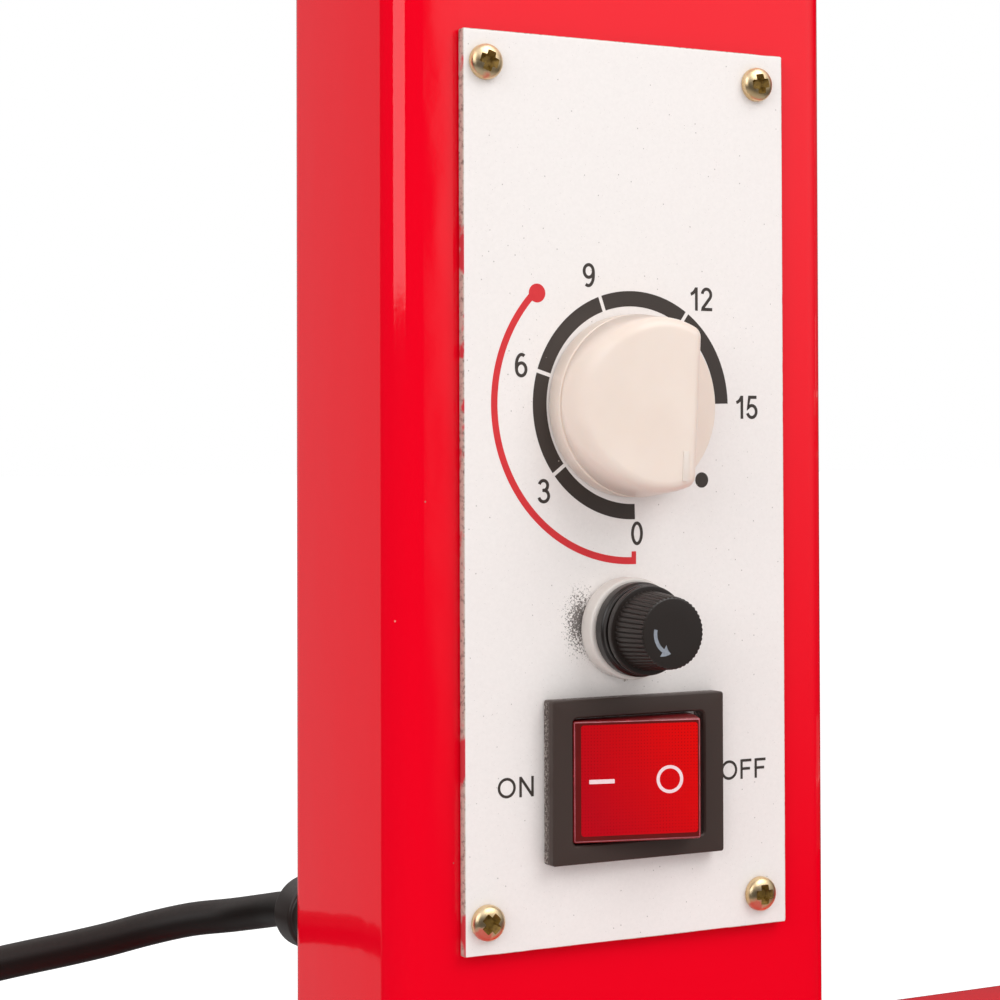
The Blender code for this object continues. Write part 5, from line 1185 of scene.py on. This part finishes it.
# %% Rocker
ROCKER_L, ROCKER_H, REACH, ROCKER_CORNER = in_mm(20.5, 18.6, 8.1, 0.4)
SHOULDER_L, SHOULDER_Z, KEEL_L, KEEL_Z = in_mm(22.0, 3.5, 8.0, -4.5)
LENS_EDGE, BORDER_LEFT, BORDER_RIGHT, BORDER_TOP, BORDER_BOTTOM = in_mm(0.3, 1.25, 0.5, 0.65, 1.0)
FIELD_CORNER, FIELD_STEP = in_mm(0.5, 0.05)

stack = [(KEEL_L, KEEL_Z), (SHOULDER_L, 0), (SHOULDER_L, SHOULDER_Z)]
rings = [rounded(length, ROCKER_H, ROCKER_CORNER, z) for length, z in stack]
for level, inset in top_edge(REACH, LENS_EDGE):
    rings.append(rounded(ROCKER_L, ROCKER_H, ROCKER_CORNER, level, inset))
field_l, field_h = ROCKER_L - BORDER_LEFT - BORDER_RIGHT, ROCKER_H - BORDER_TOP - BORDER_BOTTOM
shift_right, shift_up = (BORDER_LEFT - BORDER_RIGHT) / 2, (BORDER_BOTTOM - BORDER_TOP) / 2
for inset in (0, FIELD_STEP):
    ring = rounded(field_l, field_h, FIELD_CORNER, REACH, inset)
    rings.append([(x + shift_right, y + shift_up, z) for x, y, z in ring])
bands = [1, 1, 1, 1, 1, 1, 3, 2, 0]
rocker = shape("red_rocker", rings, [lens, lens_wall, border, lens_edge_highlight], rocker_place, bands=bands)
settle(rocker, "rocker", "red_lens", "switch_rocker")

# %% Marks on the rocker
BAR_AT, BAR_L, BAR_H, BAR_CORNER = in_mm(-5.7, 4.05, 0.65, 0.1)
O_AT, O_RADIUS, O_STROKE = in_mm(5.2, 2.15, 0.5)

pad_white = clouded("white_pad_ink", "#F3D7DC", 0.4, 0.6, 3.0, "#EFC6CD", "#F8E6E8")
rings = [rounded(BAR_L, BAR_H, BAR_CORNER, z) for z in (0, INK)]
settle(shape("mark_on", rings, [pad_white], rocker_place @ at(BAR_AT, 0, REACH)), "rocker")
profile = [(O_RADIUS - O_STROKE, 0), (O_RADIUS, 0), (O_RADIUS, INK), (O_RADIUS - O_STROKE, INK)]
ring = turned("mark_off", profile, pad_white, rocker_place @ at(O_AT, 0, REACH), steps=48, closed=True)
settle(ring, "rocker")

# %% [markdown]
# The strain relief at the back is a hard black moulding with one deep groove, pushed through the wall.

# %% Strain relief
GLAND_X, GLAND_Z = in_mm(-133.8, 109.4)
GLAND_RADIUS, GLAND_TIP, GLAND_NECK, GLAND_BARREL, CORD_HOLE, GLAND_EDGE = in_mm(6.2, 5.0, 5.5, 4.8, 3.1, 0.35)
GLAND_PARTS, GLAND_SLOPE = 5, 0.3 * MM

gland_low, gland_high, _, _ = box("cord_gland")
gland_end = gland_high.y - column_high.y
part = gland_end / GLAND_PARTS
profile = [
    (GLAND_BARREL, gland_low.y - column_high.y), (GLAND_BARREL, SEAT), (GLAND_RADIUS, SEAT),
    (GLAND_RADIUS, 2 * part),
    (GLAND_NECK, 2 * part + GLAND_SLOPE), (GLAND_NECK, 3 * part - GLAND_SLOPE), (GLAND_RADIUS, 3 * part),
    (GLAND_RADIUS, gland_end - part / 2), (GLAND_TIP, gland_end), (CORD_HOLE, gland_end),
]
place = at(GLAND_X, column_high.y, GLAND_Z) @ BACKWARDS
gland = turned("strain_relief", profile, gland_nylon, place, GLAND_EDGE)
settle(gland, "frame", "black_rubber", "cord_gland")

# %% [markdown]
# The rest of the machine is out of the photograph, and is built as the bench machine usually is.
# Polyethylene caps close the tubes, each with thin fins that grip the bore. The tubes are joined by
# hand-laid beads of weld, whose ripples follow one another every couple of millimetres.

# %% Tube caps
CAP_PLAY, CAP_FIN, CAP_CORNER, CAP_LEAD, LID_EDGE = in_mm(0.6, 1.2, 2.5, -10, 1.0)
FIN_STARTS = (-9.0, -6.5, -4.0)
FIN_SIDES = ((0, 1), (0.4, 0), (0.9, 0), (1.1, 1))
CROWN = ((0.25, 6), (0.3, 10))

polyethylene = Finish("moulded_polyethylene", "#1F1C1B", 0.44, IOR=1.5)
polyethylene.relief(polyethylene.noise(0.6, 3.0), 0.35, 0.04)


def tube_cap(name, width, depth, low, high, place):
    """A cap over a tube's end: fins below, then the visible lid from low to high with a faint crown."""
    bore_w, bore_d = width - 2 * TUBE_WALL - CAP_PLAY, depth - 2 * TUBE_WALL - CAP_PLAY
    fins = [((start + up) * MM, CAP_FIN * drawn_in) for start in FIN_STARTS for up, drawn_in in FIN_SIDES]
    stem = [(CAP_LEAD, 2 * CAP_FIN)] + fins + [(low, CAP_FIN)]
    rings = [rounded(bore_w, bore_d, CAP_CORNER, level, inset) for level, inset in stem]
    rings += slab_rings(width, depth, low, high, TUBE_CORNER, LID_EDGE)
    rings += [rounded(width, depth, TUBE_CORNER, high + rise * MM, inset * MM) for rise, inset in CROWN]
    return shape(name, rings, [polyethylene], place)


lid_low, lid_high = SEAT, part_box("column_cap")[1].z - column_high.z - SEAT
place = at(column_mid.x, column_mid.y, column_high.z)
lid = tube_cap("column_lid", column_size.x, column_size.y, lid_low, lid_high, place)
settle(lid, "frame", "cap_plastic", "column_cap")
for arm in ARMS:
    _, high, centre, size = box(arm)
    place = at(high.x, centre.y, centre.z) @ ALONG_X
    lid = tube_cap(f"{arm}_lid", size.y, size.z, lid_low, lid_high, place)
    settle(lid, "frame", "cap_plastic", f"{arm}_cap")

# %% Weld beads
WELD_RADIUS, WELD_STEP, WELD_RIPPLE, WELD_REACH, SEAM_INSET = in_mm(2.3, 0.7, 2.6, 4.0, 0.8)
WELD_SIDES, WELD_FACETS, WELD_SMOOTH = 12, 5, 60
WELD_THIN, WELD_SWELL, UNSTEADY, CARRIED = 0.86, 0.12, 0.04, 0.8
WELD_END, WELD_FADE = 0.35, 6
RIGHT, UP = Vector((1, 0, 0)), Vector((0, 0, 1))
hand = random.Random(7)


def weld(name, line, axis, closed=True):
    """A bead along a line of corners, thick and thin by turns as it was laid."""
    corners = [Vector(p) for p in line] + ([Vector(line[0])] if closed else [])
    spots = []
    for a, b in zip(corners, corners[1:]):
        count = max(1, round((b - a).length / WELD_STEP))
        spots += [a + (b - a) * i / count for i in range(count)]
    spots += [] if closed else [corners[-1]]
    turns = [2 * math.pi * i / WELD_SIDES for i in range(WELD_SIDES)]
    rings, wobble = [], 0.0
    for k, spot in enumerate(spots):
        before = spots[k - 1] if k or closed else spot
        after = spots[(k + 1) % len(spots)] if k + 1 < len(spots) or closed else spot
        side = (after - before).normalized().cross(axis).normalized()
        ripple = abs(math.sin(math.pi * k * WELD_STEP / WELD_RIPPLE))
        wobble = CARRIED * wobble + hand.uniform(-UNSTEADY, UNSTEADY)
        end = 1.0 if closed else eased(WELD_END + min(k, len(spots) - 1 - k) / WELD_FADE)
        size = WELD_RADIUS * (WELD_THIN + WELD_SWELL * ripple + wobble) * end
        rings.append([tuple(spot + side * size * math.cos(a) + axis * size * math.sin(a)) for a in turns])
    settle(shape(name, rings, [enamel], closed=closed), "frame", "red_enamel", smooth=WELD_SMOOTH)


def outline_at(node, axis, level):
    """The outline of a tube on a plane across it, with the tube's own round corners."""
    _, _, centre, size = box(node)
    if axis == RIGHT:
        ring = rounded(size.y, size.z, TUBE_CORNER, 0, 0, WELD_FACETS)
        return [(level, centre.y + x, centre.z + y) for x, y, _ in ring]
    ring = rounded(size.x, size.y, TUBE_CORNER, 0, 0, WELD_FACETS)
    return [(centre.x + x, centre.y + y, level) for x, y, _ in ring]


for arm in ARMS:
    weld(f"{arm}_weld", outline_at(arm, RIGHT, column_high.x + SEAT), RIGHT)
weld("column_weld", outline_at("column", UP, base_high.z + SEAT), UP)
arm_low, arm_high, _, _ = box("lower_arm")
for number, y in enumerate((arm_low.y + SEAM_INSET, arm_high.y - SEAM_INSET)):
    ends = [(x, y, arm_low.z) for x in (arm_low.x + WELD_REACH, arm_high.x - WELD_REACH)]
    weld(f"lower_arm_seam_{number}", ends, UP, False)

# %% [markdown]
# The heater is a sandwich. A sheet tray holds an insulating board, a mica element lies on it, and the
# aluminium platen covers both. Its upper face is ground flat, so it shows straight fine lines along
# its length, and heat has left it a little straw-coloured. The pressure pad above it is its match.

# %% Aluminium and steels
def worked_metal(name, colour, other, roughness, stretch, size, depth):
    """A bare metal with tool marks: noise drawn out along the tool's way, in colour, gloss and relief."""
    metal = Finish(name, colour, roughness, 1.0)
    marks = metal.noise(size, 3.0, 0.7, metal.vector("MULTIPLY", metal.where, stretch))
    tint = metal.math("MULTIPLY", marks, metal.noise(35))
    metal.tone(metal.ramp(tint, 0.1, 0.45), colour, other)
    metal.feed(Roughness=metal.ramp(marks, start=0.8 * roughness, end=1.3 * roughness))
    metal.relief(marks, 0.5, depth)
    return metal


ground_aluminium = worked_metal("ground_aluminium", "#D6D2C8", "#BDB7A8", 0.30, (0.03, 1, 1), 0.35, 0.01)
turned_steel = worked_metal("oiled_turned_steel", "#8F8C88", "#6F6B66", 0.30, (0.05, 0.05, 1), 0.3, 0.01)
bright_steel = worked_metal("bright_drawn_steel", "#C4C3C0", "#A9A6A1", 0.20, (1, 1, 0.06), 0.4, 0.006)
drawn_bar = worked_metal("bright_drawn_bar", "#C4C3C0", "#A9A6A1", 0.18, (1, 0.06, 1), 0.4, 0.006)
zinc_sheet = worked_metal("zinc_plated_sheet", "#B9BAB6", "#A2A39E", 0.34, (1, 1, 1), 2.5, 0.01)
mica = Finish("mica_sheet", "#9C8F78", 0.3)
mica.tone(mica.cells(4)[0], "#A89A80", "#7E705A")
board = Finish("insulating_fibre_board", "#D8CFC0", 0.85)
board.tone(board.noise(0.7, 4.0, 0.8), "#C8BEAC", "#E4DCCF")

# %% Heater
TRAY_WALL, TRAY_CORNER, TRAY_FOOT, TRAY_LIP = in_mm(1.5, 8, 0.9, 0.3)
SHEET_CORNER, BOARD_EDGE, BOARD_HOLE, MICA_EDGE = in_mm(6.2, 0.4, 12, 0.25)
PLATEN_CORNER, PLATEN_EDGE, PLATEN_STEPS = *in_mm(10, 1.5), 5
BRIM, BRIM_DROP, BRIM_STEP, CAN_EDGE = in_mm(3, 0.4, 1.2, 0.4)
SCREW_HEAD, SCREW_SHANK, SCREW_TURN = *in_mm(3.0, 2.5), 23


def stacked(node):
    """A heater piece's place over its own middle, its width, its depth and its two levels."""
    low, high, centre, size = box(node)
    return at(centre.x, centre.y), size.x, size.y, low.z, high.z


place, wide, deep, low, high = stacked("heater_tray")
sides = [
    (low, TRAY_FOOT), (low + TRAY_LIP, TRAY_LIP), (low + TRAY_FOOT, 0), (high - TRAY_LIP, 0), (high, TRAY_LIP),
    (high, TRAY_WALL - TRAY_LIP), (high - TRAY_LIP, TRAY_WALL), (low + TRAY_WALL, TRAY_WALL),
]
rings = [rounded(wide, deep, TRAY_CORNER, level, inset) for level, inset in sides]
settle(shape("folded_tray", rings, [enamel], place), "frame", "red_enamel", "heater_tray")
place, wide, deep, low, high = stacked("heater_insulator")
sides = [(low, BOARD_EDGE), (low + BOARD_EDGE, 0), (high - BOARD_EDGE, 0), (high, BOARD_EDGE)]
rings = [rounded(wide, deep, SHEET_CORNER, level, inset) for level, inset in sides]
rings += [rounded(2 * BOARD_HOLE, 2 * BOARD_HOLE, BOARD_HOLE, level) for level in (high, low)]
sheet = shape("insulating_board", rings, [board], place, closed=True)
settle(sheet, "frame", "fibre_board", "heater_insulator")
place, wide, deep, low, high = stacked("heater_element")
rings = slab_rings(wide, deep, low, high, SHEET_CORNER, MICA_EDGE, 2)
settle(shape("mica_element", rings, [mica], place), "frame", "mica", "heater_element")
place, wide, deep, low, high = stacked("heater_platen")
rings = slab_rings(wide, deep, low, high, PLATEN_CORNER, PLATEN_EDGE, PLATEN_STEPS)
platen = shape("ground_platen", rings, [ground_aluminium], place)
settle(platen, "frame", "machined_aluminium", "heater_platen")

low, _, centre, size = box("thermostat")
radius, inner = size.x / 2, size.x / 2 - BRIM_STEP
profile = [(MIDDLE, 0), (radius, 0), (radius, BRIM), (inner, BRIM + BRIM_DROP)]
profile += [(inner, size.z), (MIDDLE, size.z)]
can = turned("disc_thermostat", profile, zinc_sheet, at(centre.x, centre.y, low.z), CAN_EDGE)
settle(can, "frame", "zinc_can", "thermostat")
under_zinc = yellow_zinc("yellow_zinc_heater", 0, 0, -5)
for number in (1, 2, 3, 4):
    low, _, centre, size = box(f"heater_screw_{number}")
    place = at(centre.x, centre.y, low.z + SCREW_HEAD) @ DOWN
    sizes = (size.x / 2, SCREW_HEAD, SCREW_SHANK, size.z - SCREW_HEAD)
    screw = pan_head(f"heater_pan_head_{number}", under_zinc, place, *sizes, SCREW_TURN * number)
    settle(screw, "frame", "yellow_zinc", f"heater_screw_{number}")

# %% [markdown]
# The press screw has a trapezoidal thread of 4 mm pitch on a bright bar. The ridge of the thread is
# one long bar of its own, wound round the core, and it fades out at both ends as a lathe leaves it.
# The screw's tip has a groove, and a pin across the pad's socket runs in it, so the pad hangs on the
# screw and doesn't turn with it.

# %% Press screw
HUB_LENGTH, THREAD_RADIUS, THREAD_ROOT, PITCH, LEAD_IN, CORE_EDGE = in_mm(28, 9.95, 7.8, 4.0, 3, 0.35)
TIP_LENGTH, NECK_RADIUS, PIN_GROOVE, GROOVE_UP, GROOVE_HALF = in_mm(15, 7.0, 4.8, 6.0, 2.5)
COLLAR_EDGE, COLLAR, COLLAR_END, UNDER_HUB = in_mm(1, 1.5, 2.5, 2)
RIDGE_UNDER, FOOT_HALF, ROOT_HALF, CREST_HALF = in_mm(0.3, 1.35, 1.3, 0.72)
THREAD_STEPS, FADE_TURNS, FADED = 48, 0.6, 0.05
TOMMY_HOLE, TOMMY_STEPS = 5.3 * MM, 64

screw_low, screw_high, press_mid, press_size = box("press_spindle")
_, _, bar_mid, bar_size = box("tommy_bar")
hub, tip, top = press_size.x / 2, screw_low.z, screw_high.z
thread_low, hub_low = tip + TIP_LENGTH, top - HUB_LENGTH
groove_low, groove_high = tip + GROOVE_UP - GROOVE_HALF, tip + GROOVE_UP + GROOVE_HALF
core = [
    (MIDDLE, tip), (NECK_RADIUS, tip), (NECK_RADIUS, groove_low), (PIN_GROOVE, groove_low),
    (PIN_GROOVE, groove_high), (NECK_RADIUS, groove_high), (NECK_RADIUS, thread_low),
    (THREAD_RADIUS - COLLAR_EDGE, thread_low), (THREAD_RADIUS, thread_low + COLLAR_EDGE),
    (THREAD_RADIUS, thread_low + COLLAR), (THREAD_ROOT, thread_low + COLLAR_END),
    (THREAD_ROOT, hub_low - UNDER_HUB), (THREAD_RADIUS, hub_low - COLLAR),
    (THREAD_RADIUS, hub_low), (hub, hub_low), (hub, top), (MIDDLE, top),
]
spindle_place = at(press_mid.x, press_mid.y)
across_place = at(press_mid.x, 0, bar_mid.z) @ BACKWARDS
spindle = turned("press_screw", core, bright_steel, spindle_place, CORE_EDGE)
mouth = hub + MM
profile = [(TOMMY_HOLE, -mouth), (TOMMY_HOLE, mouth)]
cut_away(spindle, turned("cross_hole", profile, bright_steel, across_place, steps=TOMMY_STEPS))
stations = int((hub_low - LEAD_IN - thread_low - LEAD_IN) / PITCH * THREAD_STEPS)
rings = []
for k in range(stations + 1):
    angle = 2 * math.pi * k / THREAD_STEPS
    level = thread_low + LEAD_IN + PITCH * k / THREAD_STEPS
    fade = eased(min(k, stations - k) / (FADE_TURNS * THREAD_STEPS))
    crest = THREAD_ROOT + (THREAD_RADIUS - THREAD_ROOT) * (FADED + (1 - FADED) * fade)
    upper = [(crest, CREST_HALF), (THREAD_ROOT, ROOT_HALF), (THREAD_ROOT - RIDGE_UNDER, FOOT_HALF)]
    section = [(r, -rise) for r, rise in reversed(upper)] + upper
    rings.append([(r * math.cos(angle), r * math.sin(angle), level + rise) for r, rise in section])
ridge = shape("thread_ridge", rings, [bright_steel], spindle_place)
settle(joined("press_screw", [spindle, ridge]), "spindle", "bright_steel", "press_spindle")

# %% Bush and sliding bar
BUSH_INNER, BUSH_OUTER, BUSH_FLANGE = in_mm(10.3, 15.0, 6.0)
BUSH_CHAMFER, BUSH_MOUTH, BUSH_EDGE = in_mm(0.6, 1.2, 0.5)
BALL_RADIUS, BALL_BORE, BALL_FLAT, BORE_END, BAR_EDGE = in_mm(9.0, 5.3, 5.58, 75.3, 0.8)
BALL_STEPS = 28

flange_low, rim = bush_high.z - BUSH_FLANGE, bush_size.x / 2
profile = [
    (BUSH_INNER, bush_low.z + BUSH_CHAMFER), (BUSH_INNER + BUSH_CHAMFER, bush_low.z), (BUSH_OUTER, bush_low.z),
    (BUSH_OUTER, flange_low), (rim, flange_low), (rim, bush_high.z), (BUSH_INNER + BUSH_MOUTH, bush_high.z),
    (BUSH_INNER, bush_high.z - BUSH_MOUTH),
]
bush = turned("screw_bush", profile, turned_steel, at(bush_mid.x, bush_mid.y), BUSH_EDGE, closed=True)
settle(bush, "frame", "turned_steel", "spindle_bush")

ball_low, ball_high, _, _ = box("tommy_ball_1")
ball_at = max(abs(ball_low.y), abs(ball_high.y)) - BALL_RADIUS
flat_at = ball_at - math.sqrt(BALL_RADIUS**2 - BALL_FLAT**2)
start = -math.asin((ball_at - flat_at) / BALL_RADIUS)
turns = [start + (math.pi / 2 - start) * i / BALL_STEPS for i in range(BALL_STEPS)]
profile = [(MIDDLE, BORE_END), (BALL_BORE, BORE_END), (BALL_BORE, flat_at)]
profile += [(BALL_RADIUS * math.cos(a), ball_at + BALL_RADIUS * math.sin(a)) for a in turns]
profile.append((MIDDLE, ball_at + BALL_RADIUS))
for number in (1, 2):
    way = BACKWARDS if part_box(f"tommy_ball_{number}")[1].y > 0 else FACING
    ball = turned(f"ball_end_{number}", profile, polyethylene, at(press_mid.x, 0, bar_mid.z) @ way)
    settle(ball, "tommy_bar", "cap_plastic", f"tommy_ball_{number}")
profile = rod(bar_size.z / 2, -bar_size.y / 2, bar_size.y / 2)
bar = turned("sliding_bar", profile, drawn_bar, across_place, BAR_EDGE)
settle(bar, "tommy_bar", "bright_steel", "tommy_bar")

# %% Pressure pad
PAD_SLAB, BOSS_RADIUS, BOSS_FOOT, BOSS_EDGE, SOCKET_RADIUS, SOCKET_DEPTH = in_mm(14, 19, 4, 1.2, 7.3, 15)
PAD_POINTS, PIN_HOLE, PIN_EDGE = 17, 2.3 * MM, 0.4 * MM

pad_low, pad_high, pad_mid, pad_size = box("press_pad")
slab_top, top = pad_low.z + PAD_SLAB, pad_high.z
sizes = (PLATEN_CORNER, PLATEN_EDGE, PLATEN_STEPS, PAD_POINTS)
rings = slab_rings(pad_size.x, pad_size.y, pad_low.z, slab_top, *sizes)
boss = [
    (BOSS_RADIUS + BOSS_FOOT, slab_top), (BOSS_RADIUS, slab_top), (BOSS_RADIUS, top),
    (SOCKET_RADIUS + MM, top), (SOCKET_RADIUS, top - MM),
]
for radius, level in soft(boss, BOSS_EDGE) + [(SOCKET_RADIUS, top - SOCKET_DEPTH)]:
    rings.append(rounded(2 * radius, 2 * radius, radius, level, 0, PAD_POINTS))
pad = shape("pressure_pad", rings, [ground_aluminium], at(pad_mid.x, pad_mid.y))
_, _, pin_mid, pin_size = box("pad_pin")
pin_place = at(*pin_mid) @ BACKWARDS
profile = [(PIN_HOLE, -BOSS_RADIUS - MM), (PIN_HOLE, BOSS_RADIUS + MM)]
cut_away(pad, turned("pin_hole", profile, ground_aluminium, pin_place, steps=48))
settle(pad, "press_head", "machined_aluminium", "press_pad")
profile = rod(pin_size.z / 2, -pin_size.y / 2, pin_size.y / 2)
pin = turned("groove_pin", profile, turned_steel, pin_place, PIN_EDGE, 64)
settle(pin, "press_head", "turned_steel", "pad_pin")

# %% Glass fuse
FERRULE, STEP_IN, CHAMFER, LINK_STEPS = *in_mm(5.0, 0.25, 0.2), 64

fuse_glass = Finish("fuse_glass_tube", "#E8F0EE", 0.05, IOR=1.5, Transmission_Weight=0.9)
fuse_glass.feed(Roughness=fuse_glass.ramp(fuse_glass.noise(3), start=0.03, end=0.14))
_, _, centre, size = box("glass_fuse")
half, radius = size.y / 2, size.z / 2
upper = [
    (radius - STEP_IN, half - FERRULE), (radius, half - FERRULE), (radius, half - CHAMFER),
    (radius - CHAMFER, half), (MIDDLE, half),
]
rings = lathe([(r, -level) for r, level in reversed(upper)] + upper, LINK_STEPS)
bands = [0, 0, 0, 0, 1, 0, 0, 0, 0]
link = shape("cartridge_fuse", rings, [nickel, fuse_glass], at(*centre) @ BACKWARDS, bands=bands)
settle(link, "fuse_link", "fuse_glass", "glass_fuse")

# %% Plain finishes for what is inside
INSIDE = {
    "zinc_can": ("#B9B9B4", 0.35, 1.0), "turned_steel": ("#A9A6A1", 0.32, 1.0),
    "brass_tab": ("#C9A45A", 0.3, 1.0), "brown_wire": ("#6A3A1E", 0.45, 0.0),
    "blue_wire": ("#2A5FA8", 0.45, 0.0), "green_wire": ("#4F9A3A", 0.45, 0.0),
    "black_nylon": ("#3A302B", 0.45, 0.0), "yellow_zinc": ("#D8BC84", 0.25, 1.0),
}
plain = {}
for name, looks in INSIDE.items():
    plain[name] = Finish(f"plain_{name}", *looks)
    plain[name].relief(plain[name].noise(0.8, 3.0), 0.2, 0.03)
for piece in nodes.values():
    if not piece.hide_render:
        slot = piece.material_slots[0]
        slot.material = plain[slot.material.name].material
